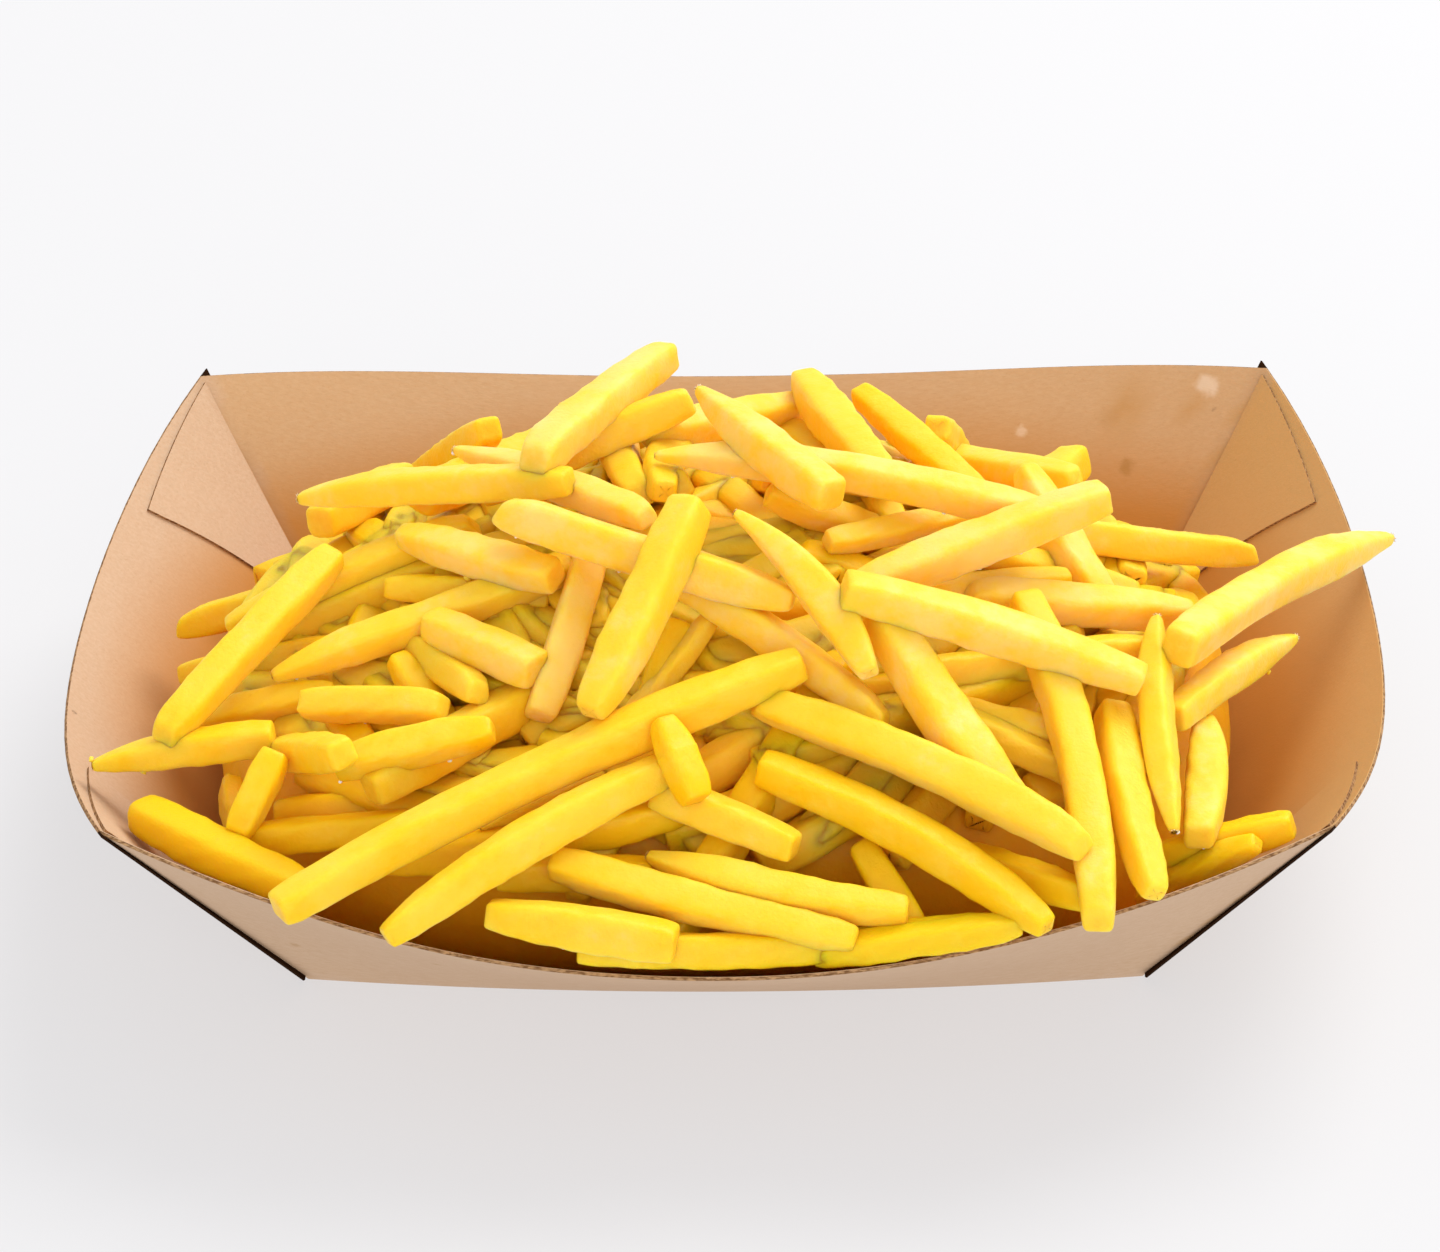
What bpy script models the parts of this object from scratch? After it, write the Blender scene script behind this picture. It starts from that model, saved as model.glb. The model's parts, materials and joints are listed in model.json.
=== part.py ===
"""French fries heaped in an open tray of folded kraft board.

Two solids: the tray, one sheet folded into a base, four bowed walls and four glued corner flaps, and
the heap, a core with the fries that show fused on. The origin is the centre of the tray's underside,
with +X along its length and +Z up. Every size below is in millimetres.
"""

import math
import random
from typing import NamedTuple

import bmesh
import bpy
import numpy as np
from mathutils import Vector

MM = 0.001

# The tray
TOP_LENGTH = 220.0
TOP_WIDTH = 158.0
BASE_LENGTH = 158.0
BASE_WIDTH = 103.0
CORNER_HEIGHT = 55.0
BOARD = 0.7
LONG_WALL_MID_LEAN = math.radians(50.0)
END_WALL_BULGE = math.radians(18.6)
CREASE_BOW = 4.3
CORNER_LEAN_LONG = math.atan2((TOP_WIDTH - BASE_WIDTH) / 2, CORNER_HEIGHT)
CORNER_LEAN_END = math.atan2((TOP_LENGTH - BASE_LENGTH) / 2, CORNER_HEIGHT)
SLANT_LONG = CORNER_HEIGHT / math.cos(CORNER_LEAN_LONG)
SLANT_END = CORNER_HEIGHT / math.cos(CORNER_LEAN_END)
LONG_WALL_SPANS = 16
END_WALL_SPANS = 12
WALL_ROWS = 3

# The flaps glued inside the end walls, and the cut edges that stand past the corner folds.
# Each place is a pair: the share of the half width, and the share of the slant height.
FLAP_TIP_HIGH = (0.58, 0.93)
FLAP_TIP_LOW = (0.60, 0.88)
FLAP_FOLD_TOP = (0.995, 0.98)
FLAP_FOLD_FOOT = (0.97, 0.06)
FLAP_ROWS = 4
FLAP_BITE = 0.3
FLAP_PROUD = 0.6
EDGE_PAST_FOLD = 1.6
EDGE_BACK = 2.4
EDGE_PROUD = 0.25

# The heap
HEAP_TOP = 88.0
HEAP_EDGE = 42.0
HEAP_EDGE_DROP_BEHIND = 22.0
HEAP_HALF_LENGTH = 118.0
HEAP_HALF_WIDTH_FRONT = 100.0
HEAP_HALF_WIDTH_BEHIND = 80.0
HEAP_HALF_WIDTH_BEHIND_ENDS = 54.0
TOP_LAYER_DEPTH = 5.0
CORE_DEPTH = 19.0
CORE_GAP_LONG = 2.4
CORE_GAP_END = 3.6
CORE_SIDE_SHARE = 0.5
CORE_SPANS = 10
CORE_LOOPS = (0.88, 0.72, 0.54, 0.36, 0.18)
FLOOR_GAP = 0.5

# How the fries settle
SAMPLE_STEP = 4.0
SQUASH = 0.78
SETTLE_ROUNDS = 60
PUSH_SHARE = 0.7
HOME_PULL = 0.08
SPREAD_GIVES = 3.0
DISH_GAP = 0.3
UNDER_COUNT = 31
UNDER_DEPTH = 11.0
UNDER_CENTRE = (-8.0, -16.0)
UNDER_REACH = (78.0, 62.0)
BEHIND_COUNT = 18
BEHIND_DEPTH = 12.0
BEHIND_CENTRE = (0.0, 36.0)
BEHIND_REACH = (60.0, 26.0)
SPREAD_SEED = 7
ROLL_SEED = 3
ROLL_MOST = 28.0

TRAY_COLOUR = (0.60, 0.40, 0.23, 1.0)
FRIES_COLOUR = (0.90, 0.62, 0.14, 1.0)


class Fry(NamedTuple):
    """One fry: the plan place of its middle, its heading in degrees, its length, width and sideways bow,
    how far it lies above the heap's even top, how much its far end rises, its arch, and its two ends:
    c cut square, t tapered."""

    x: float
    y: float
    heading: float
    length: float
    width: float
    bow: float = 0.0
    lift: float = 0.0
    rise: float = 0.0
    arch: float = 0.0
    ends: str = "cc"


LOWER_FRIES = (
    # the left end and the front left
    Fry(-88, -17, -25, 36, 7.4, lift=-10),
    Fry(-73, -15, 8, 45, 6.9, lift=-12),
    Fry(-90, -51, -80, 14, 5.5, lift=-3),
    Fry(-72, -69, -6, 38, 6.9, lift=-7),
    Fry(-69, -60, -6, 24, 8.3, lift=2),
    Fry(-88, -73, -34, 41, 8.3, bow=-2, lift=-3),
    Fry(-85, -37, -5, 28, 6.4, lift=-3),
    Fry(-43, -53, 40, 50, 9.2, lift=-5),
    Fry(-52, -37, -58, 34, 6.9, lift=-6),
    # the front, along the rim
    Fry(-2, -98, 2, 44, 6.9, lift=-4),
    Fry(36, -98, -2, 36, 6.4, lift=-3),
    Fry(-25, -81, 0, 28, 6.4, lift=-6),
    Fry(31, -85, -60, 20, 6.9, lift=-5),
    Fry(54, -84, -38, 34, 7.4, lift=-4),
    Fry(37, -95, -6, 34, 5.5, lift=-8),
    Fry(-31, -70, 22, 24, 4.4, lift=-5, ends="tt"),
    # the right end
    Fry(86, -76, -20, 22, 5.6, lift=-5),
    Fry(91, -73, -6, 24, 6.9, lift=-4),
    Fry(79, 5, 14, 48, 7.4, lift=-2),
    Fry(60, -12, 18, 38, 6.4, lift=-4, rise=3),
    Fry(65, -8, -62, 34, 7.9, lift=-7),
    # behind the crest
    Fry(40, 18, -57, 50, 6.9, lift=-11, rise=-12),
    Fry(1, 26, 43, 44, 7.4, lift=-3),
    Fry(23, 2, 2, 40, 6.4),
    Fry(-71, 21, 58, 28, 8.6, lift=-2),
    Fry(-26, 8, 17, 42, 7.8, lift=-7, rise=-8),
    # the middle, in the shade of the top ones
    Fry(35, -12, 28, 34, 5.5, lift=-5),
    Fry(46, -24, 16, 40, 6.4, lift=-6),
    Fry(51, -54, -6, 34, 6.3, lift=-2),
    Fry(54, -60, -14, 32, 6.3, lift=-3),
    Fry(35, -64, -20, 34, 6.9, lift=-3),
    Fry(-8, -46, 51, 26, 4.6, lift=-8),
    Fry(11, -46, -37, 50, 7.5, lift=-4),
    Fry(-70, -12, 12, 48, 7.4, lift=-4),
    Fry(-47, -21, -11, 32, 6.9, lift=-5),
)

MIDDLE_FRIES = (
    # the left half
    Fry(-55, -29, 14, 58, 7.4, lift=-4, ends="tc"),
    Fry(-27, -36, 74, 36, 7.8, lift=-2),
    Fry(-43, -41, -36, 26, 8.3, lift=-7),
    Fry(-63, -49, -16, 28, 7.4, lift=-2),
    Fry(-54, -65, 2, 29, 7.4, rise=-8),
    Fry(-74, -60, -55, 30, 7.5, lift=-2, rise=-16),
    Fry(-98, -52, 2, 34, 7.4, lift=-2, rise=-8, ends="tc"),
    Fry(-83, -66, 60, 14, 6.9, lift=-3),
    # the front, along the rim
    Fry(-2, -92, -15, 56, 7.4),
    Fry(-23, -98, -10, 34, 8.3, lift=-3),
    Fry(11, -88, -15, 48, 7.2, bow=-2, lift=-2, ends="tc"),
    Fry(2, -78, -26, 28, 7.8),
    Fry(-32, -86, 33, 60, 8.3, arch=2),
    # the right half and the back
    Fry(67, -26, 8, 42, 7.7, lift=-1),
    Fry(23, 17, -71, 50, 8.7, lift=-4),
    Fry(-32, -6, -40, 50, 6.9, lift=1, ends="tc"),
    Fry(-54, -5, -17, 56, 7.6, ends="tc"),
    Fry(-23, 10, 62, 50, 8.6, lift=3, rise=4),
    Fry(88, -60, -95, 35, 8.1, lift=-1),
    Fry(95, -32, 56, 46, 7.2, ends="ct"),
    Fry(74, -73, -83, 45, 7.8, lift=2),
    Fry(41, -62, -53, 41, 9.6, lift=5),
)

TOP_FRIES = (
    Fry(24, -10, -9, 73, 7.4, lift=3, arch=2, ends="tc"),
    Fry(8, -8, -54, 43, 8.6, lift=2, ends="tc"),
    Fry(-45, -21, -32, 36, 7.7, lift=-3),
    Fry(-87, -33, 55, 50, 7.9, lift=4),
    Fry(-13, -33, -19, 57, 8.7, lift=3),
    Fry(48, -26, 24, 52, 8.6, lift=2),
    Fry(61, -67, -81, 70, 8.3, bow=4, lift=2),
    Fry(80, -56, -89, 49, 6.9, lift=3, ends="tt"),
    Fry(107, -9, 56, 84, 8.8, bow=3, lift=2, ends="ct"),
    Fry(33, -85, -33, 60, 7.9, bow=4, lift=2),
    Fry(36, -75, -30, 66, 8.3, bow=3, lift=2),
    Fry(-30, -77, 26, 102, 8.6, bow=4, lift=4),
    Fry(-6, -74, -60, 13, 6.9, lift=4),
    Fry(15, -46, -51, 38, 8.0, bow=4, lift=5, ends="tc"),
    Fry(-13, -48, 65, 42, 9.5, lift=4),
    Fry(50, -51, -3, 54, 8.3, bow=2, lift=3),
)


def clear_scene():
    for item in list(bpy.data.objects):
        bpy.data.objects.remove(item, do_unlink=True)


def material(name, colour, roughness):
    made = bpy.data.materials.new(name)
    made.use_nodes = True
    surface = made.node_tree.nodes["Principled BSDF"]
    surface.inputs["Base Color"].default_value = colour
    surface.inputs["Roughness"].default_value = roughness
    surface.inputs["Metallic"].default_value = 0.0
    return made


def mesh_object(name, points, faces, collection):
    """A mesh object from points in millimetres, its faces turned outwards."""
    mesh = bpy.data.meshes.new(name)
    mesh.from_pydata([Vector(point) * MM for point in points], [], faces)
    mesh.validate()
    shape = bmesh.new()
    shape.from_mesh(mesh)
    bmesh.ops.recalc_face_normals(shape, faces=shape.faces)
    shape.to_mesh(mesh)
    shape.free()
    made = bpy.data.objects.new(name, mesh)
    collection.objects.link(made)
    return made


def apply_modifiers(item):
    """The object's evaluated mesh becomes its own."""
    bpy.context.view_layer.update()
    graph = bpy.context.evaluated_depsgraph_get()
    evaluated = item.evaluated_get(graph)
    settled = bpy.data.meshes.new_from_object(evaluated, depsgraph=graph)
    item.modifiers.clear()
    item.data = settled


def long_wall_point(side, along, up, inset=0.0):
    """A point of a long wall's outside: along runs -1 to 1 on the length, up 0 to 1 from crease to rim."""
    swell = 1 - along * along
    lean = CORNER_LEAN_LONG + (LONG_WALL_MID_LEAN - CORNER_LEAN_LONG) * swell
    foot = BASE_WIDTH / 2 + CREASE_BOW * swell - inset
    half_length = BASE_LENGTH / 2 + (TOP_LENGTH - BASE_LENGTH) / 2 * up - inset
    reach = up * SLANT_LONG
    return (along * half_length, side * (foot + reach * math.sin(lean)), reach * math.cos(lean))


def end_wall_point(side, across, up, inset=0.0):
    """A point of an end wall's outside: across runs -1 to 1 on the width, up 0 to 1 from crease to rim."""
    lean = CORNER_LEAN_END + END_WALL_BULGE * (1 - across * across)
    half_width = BASE_WIDTH / 2 + (TOP_WIDTH - BASE_WIDTH) / 2 * up - inset
    reach = up * SLANT_END
    return (side * (BASE_LENGTH / 2 - inset + reach * math.sin(lean)), across * half_width, reach * math.cos(lean))


def ring_of_points(up, long_spans, end_spans, long_inset=0.0, end_inset=0.0):
    """The closed loop round all four walls at one share of their slant height, from the front left corner."""
    ring = []
    for k in range(long_spans):
        ring.append(long_wall_point(-1, -1 + 2 * k / long_spans, up, long_inset))
    for k in range(end_spans):
        ring.append(end_wall_point(1, -1 + 2 * k / end_spans, up, end_inset))
    for k in range(long_spans):
        ring.append(long_wall_point(1, 1 - 2 * k / long_spans, up, long_inset))
    for k in range(end_spans):
        ring.append(end_wall_point(-1, 1 - 2 * k / end_spans, up, end_inset))
    return ring


def loft_faces(ring_count, size):
    """Quads between neighbouring rings of one size, the rings' points stored one ring after another."""
    faces = []
    for level in range(ring_count - 1):
        for k in range(size):
            after = (k + 1) % size
            low, high = level * size, (level + 1) * size
            faces.append((low + k, low + after, high + after, high + k))
    return faces


def end_wall_normal(side, across, up):
    """The unit normal of an end wall's surface, pointing out of the tray."""
    step = 0.01
    here = Vector(end_wall_point(side, across, up))
    upward = Vector(end_wall_point(side, across, up + step)) - here
    sideways = Vector(end_wall_point(side, across + step, up)) - here
    normal = upward.cross(sideways).normalized()
    return normal if normal.x * side > 0 else -normal


def slab_on_end_wall(name, side, corners, rows, inner, outer, collection):
    """A thin closed slab over a four-cornered patch of an end wall, from inner to outer above its outside."""
    grid = []
    for offset in (inner, outer):
        for i in range(rows + 1):
            for j in range(rows + 1):
                u, v = i / rows, j / rows
                weights = ((1 - u) * (1 - v), u * (1 - v), u * v, (1 - u) * v)
                across = sum(weight * corner[0] for weight, corner in zip(weights, corners))
                up = sum(weight * corner[1] for weight, corner in zip(weights, corners))
                place = Vector(end_wall_point(side, across, up))
                grid.append(place + end_wall_normal(side, across, up) * offset)
    size = rows + 1
    layer = size * size
    faces = []
    for i in range(rows):
        for j in range(rows):
            a = i * size + j
            faces.append((a, a + 1, a + size + 1, a + size))
            faces.append((layer + a, layer + a + size, layer + a + size + 1, layer + a + 1))
    rim = [j for j in range(rows)] + [i * size + rows for i in range(rows)]
    rim += [rows * size + j for j in range(rows, 0, -1)] + [i * size for i in range(rows, 0, -1)]
    for a, b in zip(rim, rim[1:] + rim[:1]):
        faces.append((a, b, layer + b, layer + a))
    return mesh_object(name, grid, faces, collection)


def build_tray():
    """One folded sheet: base and bowed walls, with its corner flaps and the cut edges past the folds."""
    scene = bpy.context.scene.collection
    rings = [
        ring_of_points(level / WALL_ROWS, LONG_WALL_SPANS, END_WALL_SPANS) for level in range(WALL_ROWS + 1)
    ]
    size = len(rings[0])
    points = [point for ring in rings for point in ring]
    faces = loft_faces(len(rings), size)
    centre = len(points)
    points.append((0.0, 0.0, 0.0))
    faces += [(centre, (k + 1) % size, k) for k in range(size)]
    tray = mesh_object("carton", points, faces, scene)
    if tray.data.polygons[-1].normal.z > 0:
        tray.data.flip_normals()
    sheet = tray.modifiers.new("Sheet", "SOLIDIFY")
    sheet.thickness = BOARD * MM
    sheet.offset = -1.0
    sheet.use_even_offset = True
    apply_modifiers(tray)

    joined = bpy.data.collections.new("Glued")
    scene.children.link(joined)
    half_width = TOP_WIDTH / 2
    past = 1 + EDGE_PAST_FOLD / half_width
    back = 1 - EDGE_BACK / half_width
    for side in (-1, 1):
        for hand in (-1, 1):
            flap = [
                (hand * FLAP_FOLD_FOOT[0], FLAP_FOLD_FOOT[1]),
                (hand * FLAP_FOLD_TOP[0], FLAP_FOLD_TOP[1]),
                (hand * FLAP_TIP_HIGH[0], FLAP_TIP_HIGH[1]),
                (hand * FLAP_TIP_LOW[0], FLAP_TIP_LOW[1]),
            ]
            slab_on_end_wall("flap", side, flap, FLAP_ROWS, -BOARD - FLAP_PROUD, FLAP_BITE - BOARD, joined)
            edge = [(hand * back, 0.04), (hand * back, 1.0), (hand * past, 1.0), (hand * past, 0.04)]
            slab_on_end_wall("edge", side, edge, 2, EDGE_PROUD - BOARD, EDGE_PROUD, joined)
    unite(tray, joined)
    tray.data.materials.clear()
    tray.data.materials.append(material("KraftBoard", TRAY_COLOUR, 0.85))
    return tray


def unite(body, pieces):
    """Fuses a collection of closed pieces onto a body and removes the pieces, keeping one outer skin."""
    union = body.modifiers.new("Union", "BOOLEAN")
    union.operation = "UNION"
    union.operand_type = "COLLECTION"
    union.collection = pieces
    union.solver = "EXACT"
    apply_modifiers(body)
    for item in list(pieces.objects):
        bpy.data.objects.remove(item, do_unlink=True)
    bpy.data.collections.remove(pieces)
    keep_largest_piece(body)


def keep_largest_piece(body):
    """Drops loose scraps and the walls of sealed hollows, which fills them."""
    shape = bmesh.new()
    shape.from_mesh(body.data)
    bmesh.ops.triangulate(shape, faces=shape.faces)
    unseen = set(shape.faces)
    pieces = []
    while unseen:
        stack = [unseen.pop()]
        piece = []
        while stack:
            face = stack.pop()
            piece.append(face)
            for edge in face.edges:
                for other in edge.link_faces:
                    if other in unseen:
                        unseen.remove(other)
                        stack.append(other)
        volume = sum(face.verts[0].co.dot(face.verts[1].co.cross(face.verts[2].co)) for face in piece)
        pieces.append((volume, piece))
    pieces.sort(key=lambda entry: -entry[0])
    dropped = [face for _, piece in pieces[1:] for face in piece]
    bmesh.ops.delete(shape, geom=dropped, context="FACES")
    shape.to_mesh(body.data)
    shape.free()


def heap_height(x, y):
    """The height of the heap's even top over plan points, arrays in and out."""
    ends = np.clip(1 - (x / HEAP_HALF_LENGTH) ** 2, 0, 1)
    behind = HEAP_HALF_WIDTH_BEHIND_ENDS + (HEAP_HALF_WIDTH_BEHIND - HEAP_HALF_WIDTH_BEHIND_ENDS) * ends**2
    half_width = np.where(y < 0, HEAP_HALF_WIDTH_FRONT, behind)
    sides = np.clip(1 - (y / half_width) ** 2, 0, 1)
    edge = HEAP_EDGE - HEAP_EDGE_DROP_BEHIND * np.clip(y / HEAP_HALF_WIDTH_BEHIND, 0, 1)
    return edge + (HEAP_TOP - edge) * ends**0.8 * sides**0.95


def wall_height(place, other, half_span, other_base, other_top, foot_bow, lean_corner, lean_swell, slant, inner):
    """The height at which a wall's inside stands over plan points, by halving steps towards its share."""
    share = np.full_like(place, 0.4)
    for _ in range(12):
        along = np.clip(other / (other_base + (other_top - other_base) * share), 0, 1)
        swell = 1 - along * along
        lean = lean_corner + lean_swell * swell
        foot = half_span + foot_bow * swell - inner
        share = 0.5 * share + 0.5 * np.clip((place - foot) / (slant * np.sin(lean)), 0, 1)
    return share * slant * np.cos(lean)


def dish_height(x, y):
    """The height of the tray's inside over plan points."""
    far_x, far_y = np.abs(x), np.abs(y)
    long_wall = wall_height(
        far_y, far_x, BASE_WIDTH / 2, BASE_LENGTH / 2, TOP_LENGTH / 2, CREASE_BOW,
        CORNER_LEAN_LONG, LONG_WALL_MID_LEAN - CORNER_LEAN_LONG, SLANT_LONG, BOARD,
    )
    end_wall = wall_height(
        far_x, far_y, BASE_LENGTH / 2, BASE_WIDTH / 2, TOP_WIDTH / 2, 0.0,
        CORNER_LEAN_END, END_WALL_BULGE, SLANT_END, BOARD + FLAP_PROUD,
    )
    return np.maximum(np.maximum(long_wall, end_wall), BOARD)


class LaidFry:
    """A fry while it settles: a line over its plan path, with a height at its middle and a slope."""

    def __init__(self, fry, gives):
        self.fry = fry
        self.gives = gives
        self.radius = fry.width / 2
        self.half = fry.length / 2
        count = max(5, int(fry.length / SAMPLE_STEP) | 1)
        self.run = np.linspace(-1, 1, count) * self.half
        belly = 1 - (self.run / self.half) ** 2
        turn = math.radians(fry.heading)
        side = fry.bow * belly
        self.x = fry.x + self.run * math.cos(turn) - side * math.sin(turn)
        self.y = fry.y + self.run * math.sin(turn) + side * math.cos(turn)
        self.sag = fry.arch * belly
        self.floor = self.lowest_heights()
        top = heap_height(self.x, self.y) - TOP_LAYER_DEPTH + fry.lift
        middle = heap_height(np.array([float(fry.x)]), np.array([float(fry.y)]))[0]
        self.height = float(middle) - TOP_LAYER_DEPTH + fry.lift
        self.slope = float(top[-1] - top[0] + fry.rise) / fry.length
        self.home = (self.height, self.slope)

    def lowest_heights(self):
        """How high the axis must stay over each sample for a ball of the fry's size to clear the dish."""
        ball = 0.56 * self.fry.width + DISH_GAP
        lowest = dish_height(self.x, self.y) + ball
        for share in (0.4, 0.7, 0.95):
            for k in range(8):
                turn = k * math.pi / 4
                near_x = self.x + share * ball * math.cos(turn)
                near_y = self.y + share * ball * math.sin(turn)
                lowest = np.maximum(lowest, dish_height(near_x, near_y) + ball * math.sqrt(1 - share * share))
        return lowest

    def z(self):
        return self.height + self.slope * self.run + self.sag

    def push(self, amount, at):
        """Moves the point at this run by the amount up, partly by turning about the middle."""
        turn_share = 3 * at / self.half**2
        eased = amount / (1 + turn_share * at)
        self.height += eased
        self.slope += eased * turn_share

    def clear_dish(self):
        for _ in range(3):
            short = self.floor - self.z()
            worst = int(np.argmax(short))
            if short[worst] <= 0:
                return
            self.push(short[worst], self.run[worst])


def contact_pairs(laid):
    """For each two fries that cross in plan: the sample pairs, and how far apart in height each should be."""
    pairs = []
    for i, upper in enumerate(laid):
        for lower in laid[:i]:
            reach = (upper.radius + lower.radius) * SQUASH
            square = (upper.x[:, None] - lower.x) ** 2 + (upper.y[:, None] - lower.y) ** 2
            above, below = np.nonzero(square < reach * reach)
            if len(above):
                apart = np.sqrt(reach * reach - square[above, below])
                pairs.append((upper, lower, above, below, apart))
    return pairs


def settle(laid):
    """Pushes crossing fries apart in height, earlier ones down and later ones up, and holds them near home."""
    pairs = contact_pairs(laid)
    for _ in range(SETTLE_ROUNDS):
        for upper, lower, above, below, apart in pairs:
            overlap = lower.z()[below] + apart - upper.z()[above]
            worst = int(np.argmax(overlap))
            if overlap[worst] <= 0:
                continue
            share = PUSH_SHARE * overlap[worst] / (upper.gives + lower.gives)
            upper.push(share * upper.gives, upper.run[above[worst]])
            lower.push(-share * lower.gives, lower.run[below[worst]])
        for one in laid:
            one.height += HOME_PULL * (one.home[0] - one.height)
            one.slope += HOME_PULL * (one.home[1] - one.slope)
            one.clear_dish()
    drop_to_support(laid, pairs)


def drop_to_support(laid, pairs):
    """Lowers each fry that hangs free, in order, until it touches an earlier one, the core or the dish."""
    for one in laid:
        height = one.z()
        gap = float((height - one.floor).min())
        gap = min(gap, float((height - heap_height(one.x, one.y) + CORE_DEPTH).min()))
        for upper, lower, above, below, apart in pairs:
            if upper is one:
                gap = min(gap, float((height[above] - lower.z()[below] - apart).min()))
        if gap > 0:
            one.height -= gap
        one.height += max(0.0, float((one.floor - one.z()).max()))


def spread_fries(count, centre, reach, depth, draw):
    """Fries of drawn headings and sizes spread evenly over an ellipse, along a sunflower spiral."""
    fries = []
    for k in range(count):
        out = math.sqrt((k + 0.5) / count)
        turn = k * math.pi * (3 - math.sqrt(5))
        x = centre[0] + reach[0] * out * math.cos(turn)
        y = centre[1] + reach[1] * out * math.sin(turn)
        heading = draw.uniform(-90, 90)
        length = draw.uniform(42, 62)
        width = draw.uniform(7.4, 8.8)
        fries.append(Fry(x, y, heading, length, width, bow=draw.uniform(-3, 3), lift=-depth))
    return fries


def laid_fries():
    """Every fry of the heap, settled, with the evenly spread ones first."""
    draw = random.Random(SPREAD_SEED)
    spread = spread_fries(UNDER_COUNT, UNDER_CENTRE, UNDER_REACH, UNDER_DEPTH, draw)
    spread += spread_fries(BEHIND_COUNT, BEHIND_CENTRE, BEHIND_REACH, BEHIND_DEPTH, draw)
    laid = [LaidFry(fry, SPREAD_GIVES) for fry in spread]
    laid += [LaidFry(fry, 1.0) for fry in LOWER_FRIES + MIDDLE_FRIES + TOP_FRIES]
    settle(laid)
    return laid


def fry_bar(name, one, sides, sections, roll, collection):
    """A bent bar along a laid fry, of four or eight sides, its ends cut square or drawn in."""
    if "t" in one.fry.ends:
        sections = 5
    places = np.linspace(0, len(one.run) - 1, sections)
    stations = [
        Vector((np.interp(k, range(len(one.x)), one.x), np.interp(k, range(len(one.y)), one.y),
                np.interp(k, range(len(one.run)), one.z())))
        for k in places
    ]
    half = one.fry.width / 2
    chamfer = 0.5 * half if sides == 8 else 0.0
    profile = [(half, half - chamfer), (half - chamfer, half), (chamfer - half, half), (-half, half - chamfer)]
    profile += [(-half, chamfer - half), (chamfer - half, -half), (half - chamfer, -half), (half, chamfer - half)]
    if sides == 4:
        profile = profile[::2]
    points = []
    for k, station in enumerate(stations):
        ahead = stations[min(k + 1, sections - 1)] - stations[max(k - 1, 0)]
        ahead.normalize()
        across = ahead.cross(Vector((0, 0, 1))).normalized()
        upward = across.cross(ahead)
        scale = end_scale(one.fry.ends, k, sections)
        for a, b in profile:
            turned_a = a * math.cos(roll) - b * math.sin(roll)
            turned_b = a * math.sin(roll) + b * math.cos(roll)
            points.append(station + (across * turned_a + upward * turned_b) * scale)
    faces = loft_faces(sections, sides)
    faces.append(tuple(range(sides)))
    faces.append(tuple(range(len(points) - sides, len(points))))
    return mesh_object(name, points, faces, collection)


def end_scale(ends, k, sections):
    """How far the section is drawn in at a station: 1 along the bar, less at its ends."""
    if k == 0:
        return 0.45 if ends[0] == "t" else 0.93
    if k == sections - 1:
        return 0.45 if ends[1] == "t" else 0.93
    return 1.0


def build_core():
    """The closed mound under the fries, clear of the tray's sheet and flaps."""
    bottom = ring_of_points(0.04, CORE_SPANS, CORE_SPANS, CORE_GAP_LONG, CORE_GAP_END)
    bottom = [(x, y, BOARD + FLOOR_GAP) for x, y, _ in bottom]
    side = ring_of_points(CORE_SIDE_SHARE, CORE_SPANS, CORE_SPANS, CORE_GAP_LONG, CORE_GAP_END)
    rings = [bottom, side]
    for share in CORE_LOOPS:
        loop = []
        for x, y, z in side:
            height = heap_height(np.array([x * share]), np.array([y * share]))[0] - CORE_DEPTH
            loop.append((x * share, y * share, max(float(height), z)))
        rings.append(loop)
    size = len(bottom)
    points = [point for ring in rings for point in ring]
    faces = loft_faces(len(rings), size)
    last = (len(rings) - 1) * size
    points.append((0.0, 0.0, HEAP_TOP - CORE_DEPTH))
    points.append((0.0, 0.0, BOARD + FLOOR_GAP))
    faces += [(last + k, last + (k + 1) % size, len(points) - 2) for k in range(size)]
    faces += [((k + 1) % size, k, len(points) - 1) for k in range(size)]
    return mesh_object("fries", points, faces, bpy.context.scene.collection)


def build_heap():
    """The core with every laid fry fused on."""
    heap = build_core()
    pieces = bpy.data.collections.new("Fries")
    bpy.context.scene.collection.children.link(pieces)
    draw = random.Random(ROLL_SEED)
    for index, one in enumerate(laid_fries()):
        roll = math.radians(draw.uniform(-ROLL_MOST, ROLL_MOST))
        spread = index < UNDER_COUNT + BEHIND_COUNT
        straight = one.fry.bow == 0 and one.fry.arch == 0
        sides = 4 if spread else 8
        sections = 3 if spread or straight else 5
        fry_bar(f"fry_{index:03d}", one, sides, sections, roll, pieces)
    unite(heap, pieces)
    heap.data.materials.clear()
    heap.data.materials.append(material("FriedPotato", FRIES_COLOUR, 0.55))
    return heap


def main():
    clear_scene()
    build_tray()
    build_heap()


if __name__ == "__main__":
    main()
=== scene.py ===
"""French fries heaped in an open tray of folded kraft board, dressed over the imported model.

The tray and the heap repeat the forms of the part's source from the same named sizes, in millimetres
until a mesh is made. The origin is the centre of the tray's underside, +X runs along its length.
"""

import json
import logging
import math
import random
from dataclasses import dataclass, field
from enum import Enum
from typing import Any, Callable, ClassVar, NamedTuple

import bmesh
import bpy
import numpy as np
from mathutils import Matrix, Vector

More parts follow.
